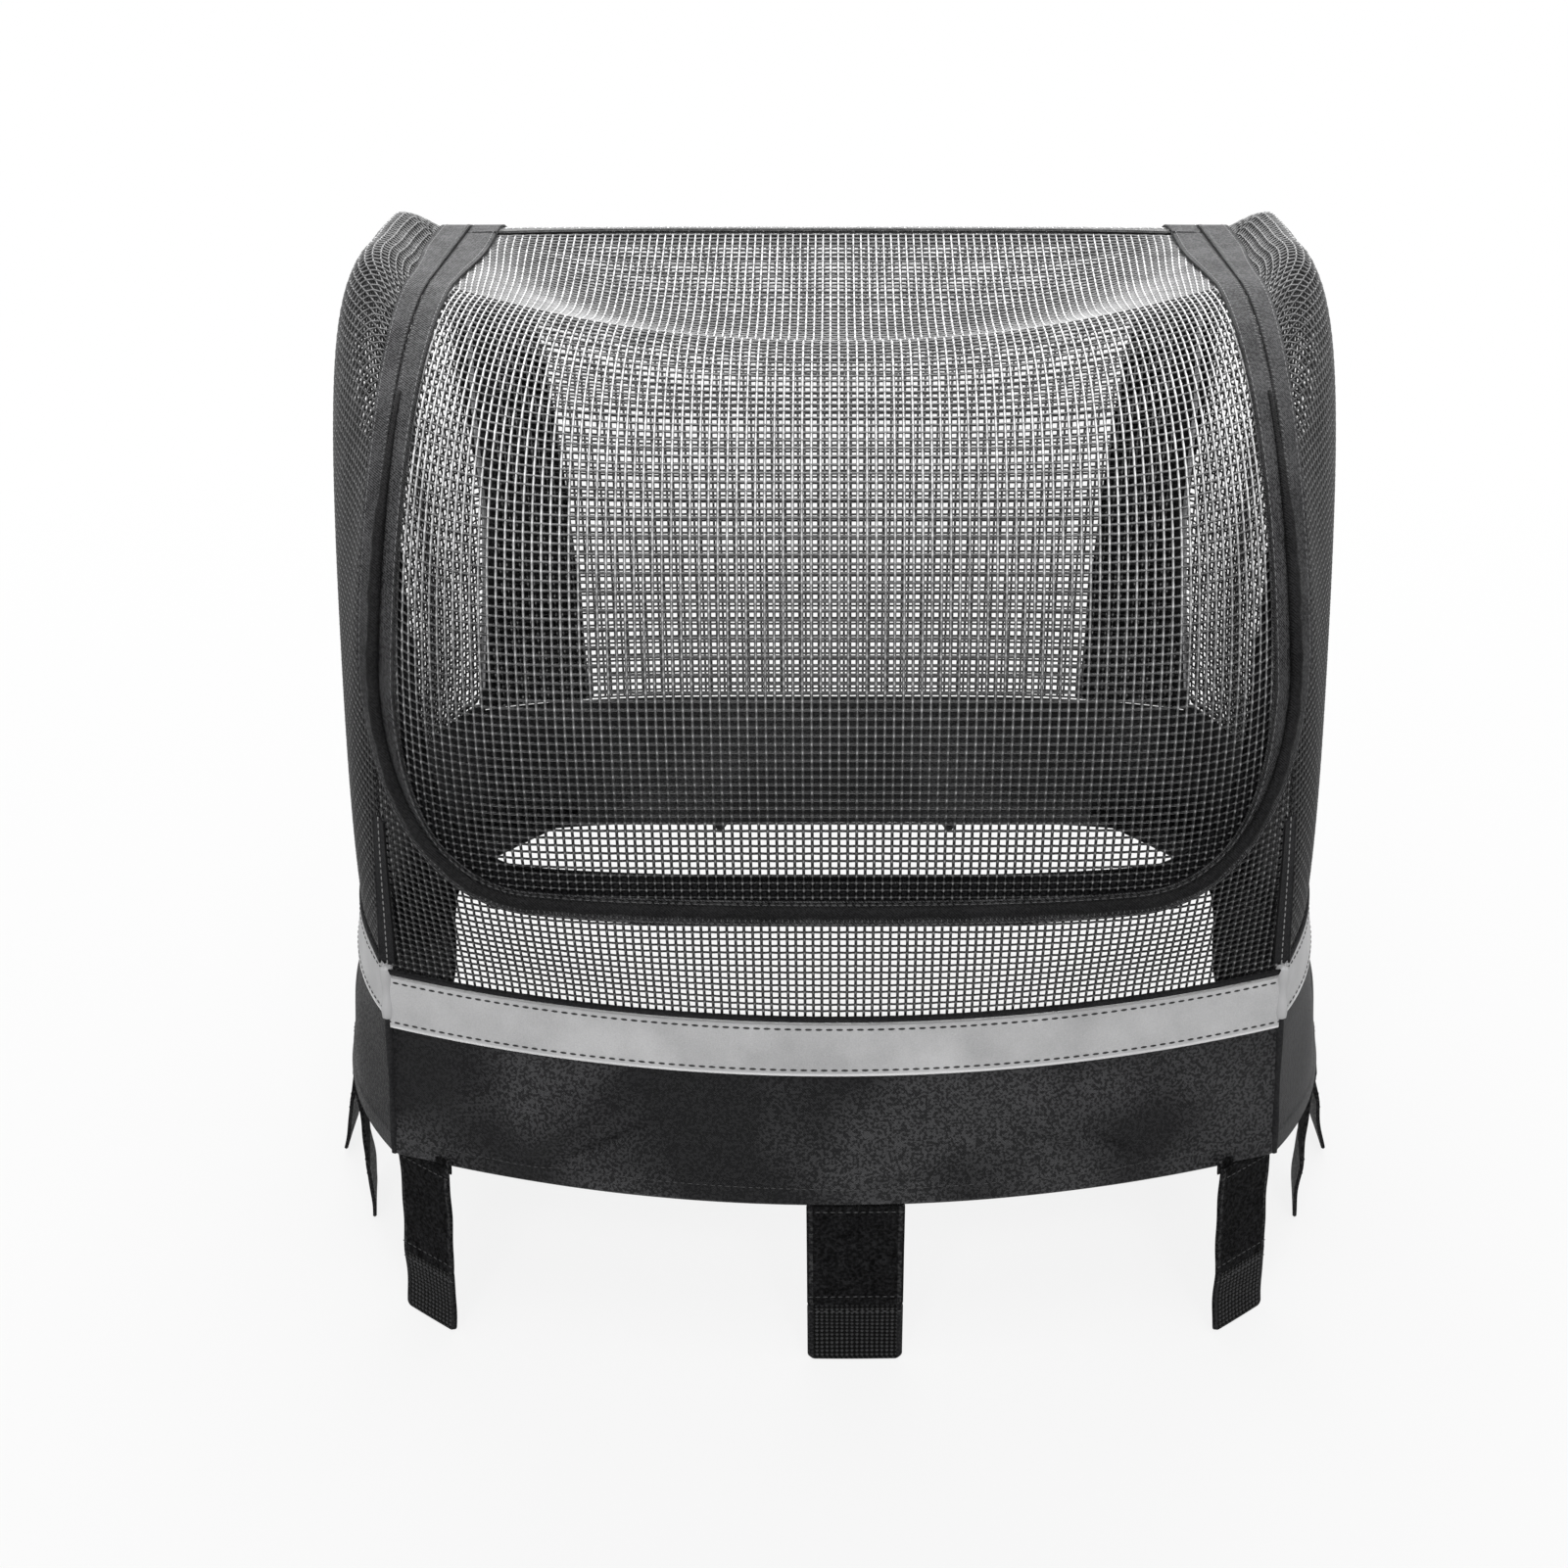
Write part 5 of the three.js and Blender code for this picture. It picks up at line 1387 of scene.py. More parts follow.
def make_coils():
    """The zip's two coils."""
    for name, rows, sign, body in (("door", DOOR_ROWS, 1, "door"), ("body", BODY_ROWS, -1, "hood")):
        mesh = coil_mesh(f"coil {name}", rows, sign)
        values = {"Radius": COIL_THREAD, "Yarn": COIL_NYLON}
        piece = baked(f"zip_coil_{name}_turns", mesh, TUBE_TREE, values)
        place_on(piece, body, "zip_coil", f"zip_coil_{name}")


def make_piping():
    """The rolled fold along the zip's door side, thinner towards its ends."""
    rows = zip_path(PIPING_TOP)
    points, normals = (part[:, 0] for part in beside_zip(rows, PIPING_INSET))
    length = arc_lengths(points)
    from_end = np.minimum(length, length[-1] - length)
    (slow, slow_turns), (fast, fast_turns) = PIPING_SLOW_WAVE, PIPING_FAST_WAVE
    waver = 1 + slow * np.sin(length * slow_turns) + fast * np.sin(length * fast_turns + 1)
    radii = PIPING_RADIUS * lerp(PIPING_END_SHARE, 1, smoothstep(from_end, 0, PIPING_FADE)) * waver
    places = points + normals * (SKIN_HIGH + radii * PIPING_FLAT)[:, None]
    mesh = tube_mesh("piping", places, normals, radii, PIPING_FLAT, PIPING_SIDES)
    add_piece("door_rolled_fold", mesh, ROLLED_FOLD, "door", "piping", "door_piping")
    path = beside_zip(rows, PIPING_INSET + FOLD_ROW_AWAY, FOLD_ROW_LOW)
    stitches("rolled_fold_stitches", path, SKIN_HIGH, FOLD_ROW, "door", THREAD)


def make_door_facing():
    """A dark tape behind the door net's low edge, fading out up its sides."""
    kind, value, _ = DOOR_ROWS
    stations = np.where(kind == ARCHED, value, DOOR_JOIN)
    kept = stations < DOOR_FACING_TOP
    narrowing = 1 - smoothstep(stations[kept], DOOR_JOIN, DOOR_FACING_TOP)
    stops = np.linspace(0, 1, DOOR_FACING_COLUMNS)
    reach = ZIP_HALF - FACING_LAP + DOOR_FACING * narrowing[:, None] * stops
    lowest = ZIP_LOW_DOOR - FACING_LAP + DOOR_FACING * stops
    grid = beside_zip([part[kept] for part in DOOR_ROWS], reach, lowest)
    cloth("door_low_facing", grid, UNDER_SKIN, BINDING, "door", "binding")


def make_hinge_fold():
    """Cloth under the roof that joins the door to the hood and rolls over as the door opens."""
    front = HINGE - HINGE_FOLD_REACH / (ARCH_Y[HINGE] - ARCH_Y[RIDGE])
    rear = HINGE + HINGE_FOLD_REACH / (ARCH_Y[REAR_ARC] - ARCH_Y[HINGE])
    along = np.linspace(rear, front, HINGE_FOLD_ROWS)[:, None]
    across = np.linspace(-1, 1, ROOF_COLUMNS) * inward(along, HINGE_FOLD_INSET)
    points, normals = on_shell(across, along)
    mesh = sheet_mesh("hinge fold", points, normals, *UNDER_SKIN)
    piece = add_mesh("hinge_fold_cloth", mesh, HINGE_CLOTH)
    hang(points)
    start, end = ((0, ARCH_Y[HINGE] + y, ARCH_Z[HINGE]) for y in (HINGE_FOLD_TURN, -HINGE_FOLD_TURN))
    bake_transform(piece, "hood", "door", start=start, end=end)


def make_hinge_binding():
    """The binding across the roof, behind the hinge line."""
    end = BODY_TOP + HINGE_BINDING_WIDTH / (ARCH_Y[REAR_ARC] - ARCH_Y[HINGE])
    along = np.linspace(BODY_TOP, end, HINGE_BINDING_ROWS)[:, None]
    across = np.linspace(-1, 1, ROOF_COLUMNS) * inward(along, ZIP_HALF + 2 * PLAY)
    grid = on_shell(across, along)
    cloth("hinge_binding_cloth", grid, SKIN, HINGE_CLOTH, "hood", "binding", "hinge_binding")


def make_corner_bindings():
    """The bindings up the front corners, each with a seam."""
    foot = (SIDE_RISE + BINDING_RISE + BINDING_WIDTH + PLAY) / FRONT_HEIGHT
    along = np.linspace(foot, CORNER_BINDING_TOP, CORNER_BINDING_ROWS)[:, None]
    distance = np.linspace(1, CORNER_BINDING_LAP, CORNER_BINDING_COLUMNS) * CORNER_BINDING_HALF
    for name, side in SIDES:
        node = f"corner_binding_{name}"
        grid = on_shell(side * inward(along, distance), along)
        cloth(f"{node}_cloth", grid, SKIN, BINDING, "hood", "binding", node)
        path = on_shell(side * inward(along, CORNER_SEAM), along)
        stitches(f"corner_seam_stitches_{name}", path, SKIN_HIGH, SEAM_ROW, "hood", PALE_THREAD)


def make_waist_bindings():
    """The bindings along the waist, in front and at both sides."""
    rise = np.linspace(BINDING_RISE, BINDING_RISE + BINDING_WIDTH, WAIST_BINDING_ROWS)[:, None]
    across = np.linspace(-1, 1, WAIST_BINDING_COLUMNS) * (1 - PLAY / ARCH_FOOT_HALF)
    grid = on_shell(across, rise / FRONT_HEIGHT)
    cloth("waist_binding_front_cloth", grid, SKIN, BINDING, "hood", "binding", "waist_binding_front")
    stations = np.linspace(*SIDE_BINDING_STATIONS, WAIST_BINDING_COLUMNS)[:, None]
    low, high = (side_surface(stations, np.array([[share]])) for share in (0.0, SIDE_BINDING_PROBE))
    up = unit(high - low)
    points = low + up * rise
    normals = unit(np.cross(np.broadcast_to(up, points.shape), np.gradient(points, axis=0)))
    grid = points, outwards(normals, points)
    for name, side in SIDES:
        node = f"waist_binding_{name}"
        cloth(f"{node}_cloth", mirrored(grid, side), SKIN, BINDING, "hood", "binding", node)


# Rear corner strips
STRIP_SEAM = 0.002
STRIP_ROWS, STRIP_COLUMNS, STRIP_OUTER_COLUMNS = 80, 12, 5


def strip_inner(along):
    """How far a rear corner strip reaches inside the arch."""
    share = np.clip((ARCH_Z[BACK] - arch_at(along)[2]) / (ARCH_Z[BACK] - SKIRT_HEIGHT), 0, 1)
    return lerp(STRIP_TOP, STRIP_FOOT, share**STRIP_TAPER)


def make_strips():
    """The cloth strips down the rear corners, from the line inside each arch to its band's outer edge."""
    end = END - PLAY / (ARCH_Z[BACK] - SKIRT_HEIGHT)
    along = np.linspace(STRIP_START, end, STRIP_ROWS)
    stops = np.linspace(0, 1, STRIP_COLUMNS)
    inner = lerp(strip_inner(along)[:, None], 0, stops[None, :])
    outer_stops = stops[None, 1:STRIP_OUTER_COLUMNS + 1] / stops[STRIP_OUTER_COLUMNS]
    outer = lerp(0, -(band_outer(along) - PLAY)[:, None], outer_stops)
    across = inward(along[:, None], np.concatenate([inner, outer], 1))
    for name, side in SIDES:
        grid = on_shell(side * across, along[:, None])
        node = f"rear_corner_strip_{name}"
        strip = cloth(f"{node}_cloth", grid, SKIN, OXFORD, "hood", "oxford_cloth", node)
        seam = inward(along, strip_inner(along) - STRIP_SEAM)
        path = on_shell(side * seam[:, None], along[:, None])
        sewn = stitches(f"{node}_stitches", path, SKIN_HIGH, FOLD_ROW, "hood", THREAD)
        hang(grid[0])


# Skirt
def hem_side(y):
    """Half the hem's width at a depth."""
    share = np.clip((y - HEM_FRONT_CORNER_Y) / (HEM_REAR_CORNER_Y - HEM_FRONT_CORNER_Y), 0, 1)
    bulge = HEM_SIDE_BULGE * (1 - np.abs(2 * share - 1) ** BULGE_POWER)
    return lerp(HEM_FRONT_HALF, HEM_REAR_HALF, share) + bulge


def hem_front(share):
    """Places of the front hem, from -1 at the left to 1 at the right."""
    drop = (HEM_FRONT_CORNER_Y - HEM_FRONT_Y) * np.abs(share) ** HEM_FRONT_POWER
    return np.stack([HEM_FRONT_HALF * share, HEM_FRONT_Y + drop, 0 * share], -1)


def hem_rear(share):
    """Places of the rear hem, from -1 at the left to 1 at the right."""
    drop = (HEM_REAR_Y - HEM_REAR_CORNER_Y) * np.abs(share) ** HEM_REAR_POWER
    return np.stack([HEM_REAR_HALF * share, HEM_REAR_Y - drop, 0 * share], -1)


def waist_front(share):
    """Places of the front waist, from -1 at the left to 1 at the right."""
    place = shell(share, 0)
    place[..., 2] = SKIRT_HEIGHT - FRONT_DIP * (1 - share**2)
    return place


def waist_rear(share):
    """Places of the rear waist, from -1 at the left to 1 at the right."""
    return shell(share, END)


def waist_of_side(share):
    """Places of the right side's waist, from -1 at the front to 1 at the rear."""
    y = lerp(ARCH_Y[0], ARCH_Y[-1], (share + 1) / 2)
    return np.stack([waist_side(y), y, 0 * y + SIDE_WAIST_Z], -1)


def hem_of_side(share):
    """Places of the right side's hem, from -1 at the front to 1 at the rear."""
    y = lerp(HEM_FRONT_CORNER_Y, HEM_REAR_CORNER_Y, (share + 1) / 2)
    return np.stack([hem_side(y), y, 0 * y], -1)


# Folds: centre, width and depth shares. Creases: centre, height, slant, width, length and depth shares.
FOLD_DEPTH = 0.0024
CREASE_DEPTH = 0.006
FOLD_TOP = 0.64
FOLD_SLANT = 0.12
FOLD_PIVOT = 0.3
CREASE_LEAN = 3
SIDE_FOLDS = ((-0.72, 0.14, 0.8), (-0.5, 0.12, -0.7), (0.3, 0.2, 0.6))
PANELS = {
    "front": (
        waist_front, hem_front,
        ((-0.62, 0.16, 0.9), (-0.5, 0.12, -0.7), (0.55, 0.16, 0.8), (0.68, 0.1, -0.6), (0.05, 0.3, 0.5)),
        (
            (-0.60, 0.34, 0.9, 0.035, 0.20, 0.55), (-0.53, 0.22, 1.3, 0.03, 0.16, -0.5),
            (-0.70, 0.30, -0.4, 0.03, 0.2, 0.35), (0.50, 0.36, -0.9, 0.04, 0.20, 0.5),
            (0.60, 0.24, -1.2, 0.03, 0.16, -0.45), (0.80, 0.40, 0.4, 0.035, 0.25, 0.4),
            (-0.85, 0.5, -0.3, 0.03, 0.3, 0.4), (0.1, 0.15, 0.8, 0.06, 0.12, 0.3),
        ),
    ),
    "rear": (
        waist_rear, hem_rear,
        ((-0.4, 0.2, 0.7), (0.35, 0.18, -0.6)),
        (
            (-0.6, 0.3, 0.8, 0.04, 0.2, 0.4), (0.5, 0.4, -0.7, 0.04, 0.25, 0.4),
            (0.0, 0.2, 0.5, 0.05, 0.15, 0.3),
        ),
    ),
    "side": (
        waist_of_side, hem_of_side, SIDE_FOLDS,
        (
            (-0.3, 0.3, 0.8, 0.05, 0.2, 0.4), (0.5, 0.35, -0.7, 0.05, 0.22, 0.4),
            (0.75, 0.3, 0.5, 0.04, 0.2, -0.35),
        ),
    ),
}


def panel_grid(kind, low, high, rows, columns):
    """A skirt panel between two levels, from 0 at the hem to 1 at the waist, with its folds and creases."""
    waist, hem, folds, creases = PANELS[kind]
    level = np.linspace(low, high, rows)[:, None]
    share = np.linspace(-1, 1, columns)[None, :]
    points = lerp(hem(share), waist(share), level[..., None])
    normals = grid_normals(points)
    fade = np.where(level < FOLD_TOP, np.sin(np.pi * level / FOLD_TOP), 0)
    depth = np.zeros(np.broadcast(level, share).shape)
    for centre, width, size in folds:
        away = (share - centre - FOLD_SLANT * (level - FOLD_PIVOT)) / width
        depth += FOLD_DEPTH * size * np.exp(-away * away) * fade
    for centre, height, slant, width, length, size in creases:
        rise = (level - height) / length
        away = (share - centre - slant * width * rise * CREASE_LEAN) / width
        depth += CREASE_DEPTH * size * np.exp(-away * away - rise * rise) * fade
    points = points + normals * depth[..., None]
    return points, grid_normals(points)


def grid_normals(points):
    """Outward normals of a grid of places."""
    return outwards(unit(np.cross(np.gradient(points, axis=0), np.gradient(points, axis=1))), points)


SKIRT_PANELS = (("front", "front", 1), ("rear", "rear", 1), ("left", "side", -1), ("right", "side", 1))
PANEL_ROWS, PANEL_COLUMNS = 90, 240
TAPE_ROWS, TAPE_COLUMNS = 19, 200
TAPE_SEAM_ROWS = (("low", 2), ("high", -3))
HEM_STEP_FADE = 0.0008
HEM_ROW_DROP = 0.001
TAPE_LOW = CLOTH_HALF + 0.0002
TAPE_HIGH = TAPE_LOW + TAPE_THICK


def line_of(grid, row):
    """One row of a grid, as a path for stitches."""
    points, normals = grid
    return points[row][:, None], normals[row][:, None]


def make_skirt():
    """The four skirt panels with their hem stitches, and the tapes on three of them."""
    for name, kind, side in SKIRT_PANELS:
        waist_z = SIDE_WAIST_Z if kind == "side" else SKIRT_HEIGHT
        grid = mirrored(panel_grid(kind, 0, 1 - PLAY / waist_z, PANEL_ROWS, PANEL_COLUMNS), side)
        rise = arc_lengths(grid[0])[..., None]
        high = CLOTH_HALF + HEM_STEP * (1 - smoothstep(rise, HEM_FOLD, HEM_FOLD + HEM_STEP_FADE))
        node = f"skirt_{name}"
        piece = cloth(f"{node}_cloth", grid, (-CLOTH_HALF, high), OXFORD, "hood", "oxford_cloth", node)
        row = np.argmin(np.abs(rise[:, PANEL_COLUMNS // 2, 0] - HEM_FOLD + HEM_ROW_DROP))
        path, lift = line_of(grid, row), CLOTH_HALF + HEM_STEP
        sewn = stitches(f"hem_stitches_{name}", path, lift, HEM_ROW, "hood", THREAD)
        hang(grid[0])
        if kind != "rear":
            make_reflective_tape(name, kind, side, waist_z)


def make_reflective_tape(name, kind, side, waist_z):
    """The tape round the skirt's top, in a layer over the cloth, with a row of stitches along each edge."""
    top = 1 - TAPE_DROP / waist_z
    grid = panel_grid(kind, top - TAPE_WIDTH / waist_z, top, TAPE_ROWS, TAPE_COLUMNS)
    grid = mirrored(grid, side)
    node = f"reflective_tape_{name}"
    layer = TAPE_LOW, TAPE_HIGH
    tape = cloth(f"{node}_cloth", grid, layer, REFLECTIVE, "hood", "reflective_tape", node)
    for label, row in TAPE_SEAM_ROWS:
        path = line_of(grid, row)
        name_of_row = f"tape_stitches_{label}_{name}"
        stitches(name_of_row, path, TAPE_HIGH, TAPE_ROW, "hood", DARK_THREAD)
    hang(grid[0])


CORNER_FOLD_RADIUS = 0.0013
CORNER_TAPE_RADIUS = 0.0022
CORNER_TAPE_TOP = 0.985
CORNER_REAR_TOP = 0.995
CORNER_FOLD_LIFT = 0.0006
CORNER_FOLD_FLAT = 1.2
CORNER_FOLD_SIDES = 10
CORNER_FOLD_ROWS = 40
CORNER_FOLD_WAVER = 0.15
CORNER_FOLD_TURNS = 9


def make_corner_seams():
    """The narrow upright folds where two skirt panels meet."""
    tape_low = 1 - (TAPE_DROP + TAPE_WIDTH) / SIDE_WAIST_Z
    for part, place, share, low, high, radius, material, slot in (
        ("cloth", "front", -1.0, 0.0, tape_low, CORNER_FOLD_RADIUS, BARE_OXFORD, "oxford_cloth"),
        (
            "tape", "front", -1.0, tape_low, CORNER_TAPE_TOP,
            CORNER_TAPE_RADIUS, REFLECTIVE_FOLD, "reflective_tape",
        ),
        ("cloth", "rear", 1.0, 0.0, CORNER_REAR_TOP, CORNER_FOLD_RADIUS, BARE_OXFORD, "oxford_cloth"),
    ):
        level = np.linspace(low, high, CORNER_FOLD_ROWS)[:, None]
        for name, side in SIDES:
            line = lerp(hem_of_side(np.array(share)), waist_of_side(np.array(share)), level)
            line = line * np.array([side, 1, 1])
            out = unit(line * np.array([1, 1, 0]))
            turns = np.linspace(0, CORNER_FOLD_TURNS, CORNER_FOLD_ROWS)
            radii = radius + CORNER_FOLD_WAVER * radius * np.sin(turns)
            line = line + out * CORNER_FOLD_LIFT
            mesh = tube_mesh("corner fold", line, out, radii, CORNER_FOLD_FLAT, CORNER_FOLD_SIDES)
            add_piece(f"corner_fold_{part}_{place}_{name}", mesh, material, "hood", slot)


# A facing turned in from each side hem, narrowing the opening below: places of its inner edge, as y and x
FACING_EDGE = (
    (-0.125, 0.183), (0.0, 0.186), (0.049, 0.1965), (0.090, 0.199),
    (0.112, 0.183), (0.134, 0.160), (0.163, 0.136),
)
FACING_ROWS, FACING_COLUMNS = 70, 14
FACING_BLUR = 11
FACING_Z = 0.003
FACING_RISE = 0.007
FACING_SAG = 0.004
FACING_GAP = 0.0012


def make_facings():
    """The cloth turned in along both side hems."""
    y = np.linspace(FACING_EDGE[0][0], FACING_EDGE[-1][0], FACING_ROWS)
    edge_y, edge_x = (np.array(column) for column in zip(*FACING_EDGE))
    inner_x = np.pad(np.interp(y, edge_y, edge_x), FACING_BLUR // 2, mode="edge")
    inner_x = np.convolve(inner_x, np.ones(FACING_BLUR) / FACING_BLUR, "valid")
    inner = np.stack([inner_x, y, 0 * y + FACING_Z], -1)
    outer_y = np.linspace(HEM_FRONT_CORNER_Y, HEM_REAR_CORNER_Y, FACING_ROWS)
    outer = np.stack([hem_side(outer_y) - FACING_GAP, outer_y, 0 * y + FACING_Z], -1)
    share = np.linspace(0, 1, FACING_COLUMNS)[None, :, None]
    points = lerp(outer[:, None], inner[:, None], share)
    points[..., 2] += FACING_RISE * share[..., 0] - FACING_SAG * np.sin(np.pi * share[..., 0])
    grid, layer = (points, grid_normals(points)), (-CLOTH_HALF / 2, CLOTH_HALF / 2)
    for name, side in SIDES:
        facing = f"hem_facing_{name}"
        piece = cloth(facing, mirrored(grid, side), layer, OXFORD, "hood", "oxford_cloth")
        hang(points)


REAR_TAB_TAPER = 0.93
REAR_TAB_ROWS, REAR_TAB_COLUMNS = 8, 7


def make_rear_tabs():
    """The two small tabs at the rear hem."""
    drop = np.linspace(0, 1, REAR_TAB_ROWS)[:, None]
    for name, side in SIDES:
        root = hem_rear(np.array(side * REAR_TAB_X / HEM_REAR_HALF))
        across = np.linspace(-0.5, 0.5, REAR_TAB_COLUMNS)
        x = across * REAR_TAB_WIDTH * (1 - drop * REAR_TAB_TAPER)
        z = -STRAP_DROP - REAR_TAB_DROP * drop
        points = np.stack([x + root[0], 0 * x + root[1], z + 0 * x], -1)
        normals = np.broadcast_to(np.array([0.0, 1.0, 0.0]), points.shape)
        grid, layer = (points, normals), (-CLOTH_HALF, CLOTH_HALF)
        piece, node = f"rear_tab_{name}_cloth", f"rear_hem_tab_{name}"
        cloth(piece, grid, layer, OXFORD, "hood", "oxford_cloth", node)


# Straps
def strap_list():
    """Name, place on the hem, heading, width and splay of every strap."""
    middle = hem_front(np.array(FRONT_STRAP_X / HEM_FRONT_HALF))
    found = [("front", middle, 0.0, FRONT_STRAP_WIDTH, 0.0)]
    for name, side in SIDES:
        share = CORNER_STRAP_X / HEM_FRONT_HALF
        ahead = hem_front(np.array(share)) - hem_front(np.array(share - HEM_PROBE / HEM_FRONT_HALF))
        heading = side * (math.atan2(ahead[1], ahead[0]) + CORNER_STRAP_ANGLE)
        corner = hem_front(np.array(side * share))
        found.append((f"corner_{name}", corner, heading, SIDE_STRAP_WIDTH, CORNER_SPLAY))
        for place, y, splay in (("middle", MIDDLE_STRAP_Y, 0.0), ("rear", REAR_STRAP_Y, REAR_SPLAY)):
            x = float(hem_side(np.array(y)))
            slope = float(hem_side(np.array(y + HEM_PROBE)) - hem_side(np.array(y))) / HEM_PROBE
            heading = side * (math.pi / 2 - math.atan(slope))
            spot = np.array([side * x, y, 0])
            found.append((f"{place}_{name}", spot, heading, SIDE_STRAP_WIDTH, splay))
    return found


def strap_grid(width, length, corner):
    """A strip of width by length below its root, with round lower corners, facing forward."""
    rows = np.concatenate([
        np.linspace(0, length - corner, int(length / STRAP_ROW_STEP)),
        length - corner + corner * np.sin(np.linspace(0, np.pi / 2, STRAP_CORNER_ROWS + 1)[1:]),
    ])
    from_end = np.maximum(corner - (length - rows), 0)
    half = width / 2 - corner + np.sqrt(np.maximum(corner**2 - from_end**2, 0))
    share = np.sin(np.linspace(-1, 1, STRAP_COLUMNS) * np.pi / 2)
    return half[:, None] * share, np.broadcast_to(-rows[:, None], (len(rows), len(share)))


def strap_sheet(x, y, z, place, heading, splay):
    """Places and normals of a strap's own points, turned and moved to its place on the hem."""
    turn = np.array(Matrix.Rotation(heading, 3, "Z") @ Matrix.Rotation(-splay, 3, "X"))
    points = np.stack([x, y, z], -1) @ turn.T + place
    return points, np.broadcast_to(turn @ np.array([0, -1.0, 0]), points.shape)


def make_straps():
    """The seven straps, each a loop half and a hook half."""
    layer = -STRAP_THICK / 2, STRAP_THICK / 2
    for name, place, heading, width, splay in strap_list():
        loop, hook = f"strap_loop_{name}", f"strap_hook_{name}"
        below = LOOP_LENGTH + STRAP_GAP
        for body, slot, seat, top, length, corner, material, seams in (
            (loop, "loop_tape", strap_seat(name), 0, LOOP_LENGTH, LOOP_CORNER, LOOP_TAPES, ("top", "low")),
            (hook, "hook_tape", loop, below, HOOK_LENGTH, HOOK_CORNER, HOOK_TAPES, ("top",)),
        ):
            x, z = strap_grid(width, length, corner)
            ripple = np.sin(z * RIPPLE_TURNS[0] + x * RIPPLE_TURNS[1])
            bend = STRAP_BEND * np.sin(np.pi * -z / length) + STRAP_RIPPLE * ripple
            points, facing = strap_sheet(x, bend, z - STRAP_DROP - top, place, heading, splay)
            grid = points, facing
            piece = cloth(f"{body}_webbing", grid, layer, material[width], body, slot, body)
            for row, away in (("top", STRAP_SEAM), ("low", length - STRAP_SEAM)):
                if row in seams:
                    line = int(np.argmin(np.abs(-z[:, 0] - away)))
                    path = points[line, 2:-2][:, None], facing[line, 2:-2][:, None]
                    stitches(f"{body}_{row}_stitches", path, STRAP_THICK / 2, STRAP_ROW, body, THREAD)


def make_strap_roots():
    """The sewn end of each corner strap, behind the front hem."""
    for name, place, heading, width, splay in strap_list():
        if name.startswith("corner"):
            side = -1 if name.endswith("left") else 1
            x = np.linspace(-side * width / 2, 0, STRAP_ROOT_CELLS)[None, :]
            z = np.linspace(-STRAP_DROP - STRAP_THICK, STRAP_ROOT, STRAP_ROOT_CELLS)[:, None]
            x, z = np.broadcast_arrays(x, z)
            grid = strap_sheet(x, 0 * x + STRAP_THICK, z, place, heading, splay)
            layer, material = (-CLOTH_HALF, CLOTH_HALF), LOOP_TAPES[width]
            cloth(f"strap_root_{name}", grid, layer, material, "hood", "loop_tape")


def strap_seat(name):
    """The skirt panel that a strap hangs from."""
    at_front = name == "front" or name.startswith("corner")
    return "skirt_front" if at_front else f"skirt_{name.split('_')[1]}"


def paint_metal():
    """Finishes for the sliders, the pulls and the wires, which keep the frame's shapes."""
    for name in ("slider_left", "slider_right", "slider_pull_left", "slider_pull_right"):
        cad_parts[name].data.materials[0] = BLACK_METAL
    for name in WIRES:
        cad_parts[name].data.materials[0] = SPRING_STEEL


for make in (
    make_nets, make_side_nets, make_zip_tapes, make_end_tapes, make_coils, make_piping,
    make_door_facing, make_hinge_fold, make_hinge_binding, make_corner_bindings, make_waist_bindings,
    make_strips, make_skirt, make_corner_seams, make_facings, make_rear_tabs, make_straps,
    make_strap_roots, paint_metal,
):
    make()

# Camera, lights and floor
NEAREST_SEEN = 0.01
AMBIENT = 0.2
FLOOR_GAP = 0.001
FLOOR_REACH = 8
FLOOR_GLOW = 0.85
GLOW_NEAR = 0.35
GLOW_SPREAD = 0.9
WHITE = (1, 1, 1, 1)
MIDDLE = (0, 0, 0.15)
# Lights: name, place, target, size and watts
LIGHTS = (
    ("ceiling", (0, 0.45, 1.6), (0, 0.45, 0), (1.8, 2.8), 56),
    ("back", (0, 2.7, 1.5), (0, 0, 0.3), (4.0, 2.0), 112),
    ("key left", (-0.5, -1.5, 1.4), MIDDLE, (0.28, 0.28), 10),
    ("key right", (0.5, -1.5, 1.4), MIDDLE, (0.28, 0.28), 10),
)


def make_camera():
    """The photograph's camera."""
    data = bpy.data.cameras.new("camera")
    data.sensor_fit = "HORIZONTAL"
    data.sensor_width = SENSOR
    data.lens = SENSOR * FOCAL_PIXELS / IMAGE_PIXELS
    data.shift_x = (IMAGE_PIXELS / 2 - MIDDLE_X_PIXELS) / IMAGE_PIXELS
    data.clip_start = NEAREST_SEEN
    camera = bpy.data.objects.new("camera", data)
    bpy.context.scene.collection.objects.link(camera)
    camera.location = CAMERA_PLACE
    camera.rotation_euler = (math.pi / 2 - CAMERA_PITCH, 0, 0)
    bpy.context.scene.camera = camera


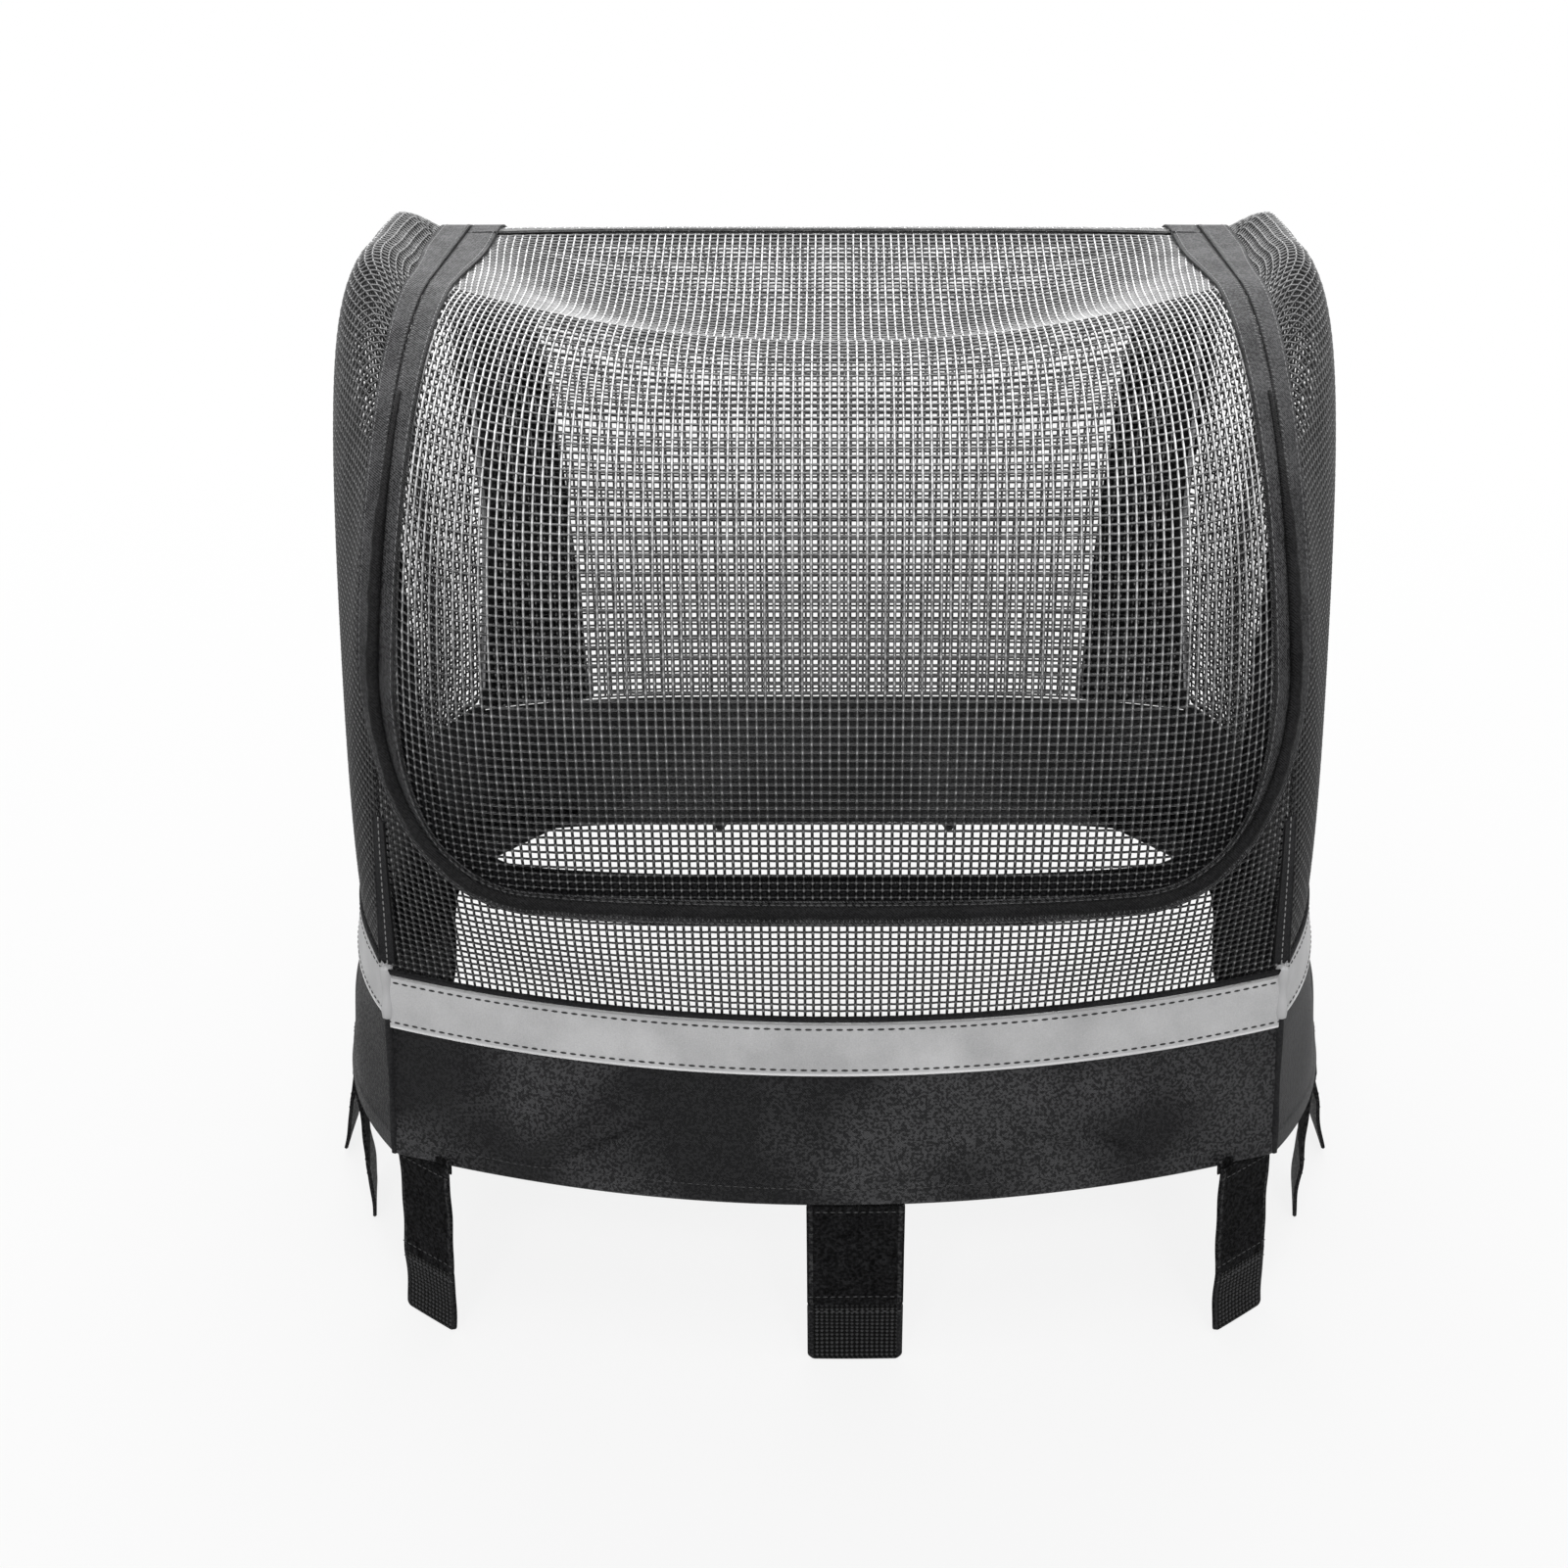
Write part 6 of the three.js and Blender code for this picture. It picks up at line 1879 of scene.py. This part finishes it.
def make_light(name, place, target, size, power):
    """A rectangular light, turned to its target."""
    data = bpy.data.lights.new(name, "AREA")
    data.shape = "RECTANGLE"
    data.size, data.size_y = size
    data.energy = power
    light = bpy.data.objects.new(name, data)
    bpy.context.scene.collection.objects.link(light)
    light.location = place
    light.rotation_euler = (Vector(target) - Vector(place)).to_track_quat("-Z", "Y").to_euler()


def seen_share(tree):
    """1 for rays that look at something, also mirrored or through it, and 0 for the rest."""
    rays = tree.node("ShaderNodeLightPath", output="Is Camera Ray")
    mirrored = tree.field(rays, "Is Glossy Ray") + tree.field(rays, "Is Transmission Ray")
    return (rays + mirrored).clamp()


def make_world():
    """A white world, seen at full strength and lighting the piece at less."""
    world = bpy.data.worlds.new("studio")
    bpy.context.scene.world = world
    world.use_nodes = True
    tree = Tree(world.node_tree)
    ground = world.node_tree.nodes["Background"]
    ground.inputs["Color"].default_value = WHITE
    strength = seen_share(tree) * (1 - AMBIENT) + AMBIENT
    world.node_tree.links.new(strength.socket, ground.inputs["Strength"])


def make_floor():
    """A pale floor that glows softly to the camera, more with the distance, and doesn't light the piece."""
    floor_z = cad_box[0][2] - FLOOR_GAP
    mesh = bpy.data.meshes.new("floor")
    signs = ((-1, -1), (1, -1), (1, 1), (-1, 1))
    corners = [(x * FLOOR_REACH, y * FLOOR_REACH, floor_z) for x, y in signs]
    mesh.from_pydata(corners, [], [(0, 1, 2, 3)])
    made = Surface("floor", (0.4, 0.4, 0.4), roughness=0.9)
    floor = add_mesh("floor", mesh, made.material)
    glow = made.node("ShaderNodeEmission", {}, {"Color": WHITE, "Strength": 1.0})
    away = made.node("ShaderNodeVectorMath", {"operation": "LENGTH"}, {0: made.place()})
    far = ((made.field(away, "Value") - GLOW_NEAR) * (1 / GLOW_SPREAD)).clamp()
    glow_share = far * (1 - FLOOR_GLOW) + FLOOR_GLOW
    mix = made.node("ShaderNodeMixShader", {}, {0: seen_share(made) * glow_share})
    made.tree.links.new(made.shader.outputs[0], mix.socket.node.inputs[1])
    made.tree.links.new(glow.socket, mix.socket.node.inputs[2])
    made.tree.links.new(mix.socket, made.tree.nodes["Material Output"].inputs["Surface"])


make_camera()
make_world()
make_floor()
for light in LIGHTS:
    make_light(*light)
bpy.context.scene.view_settings.view_transform = "Standard"
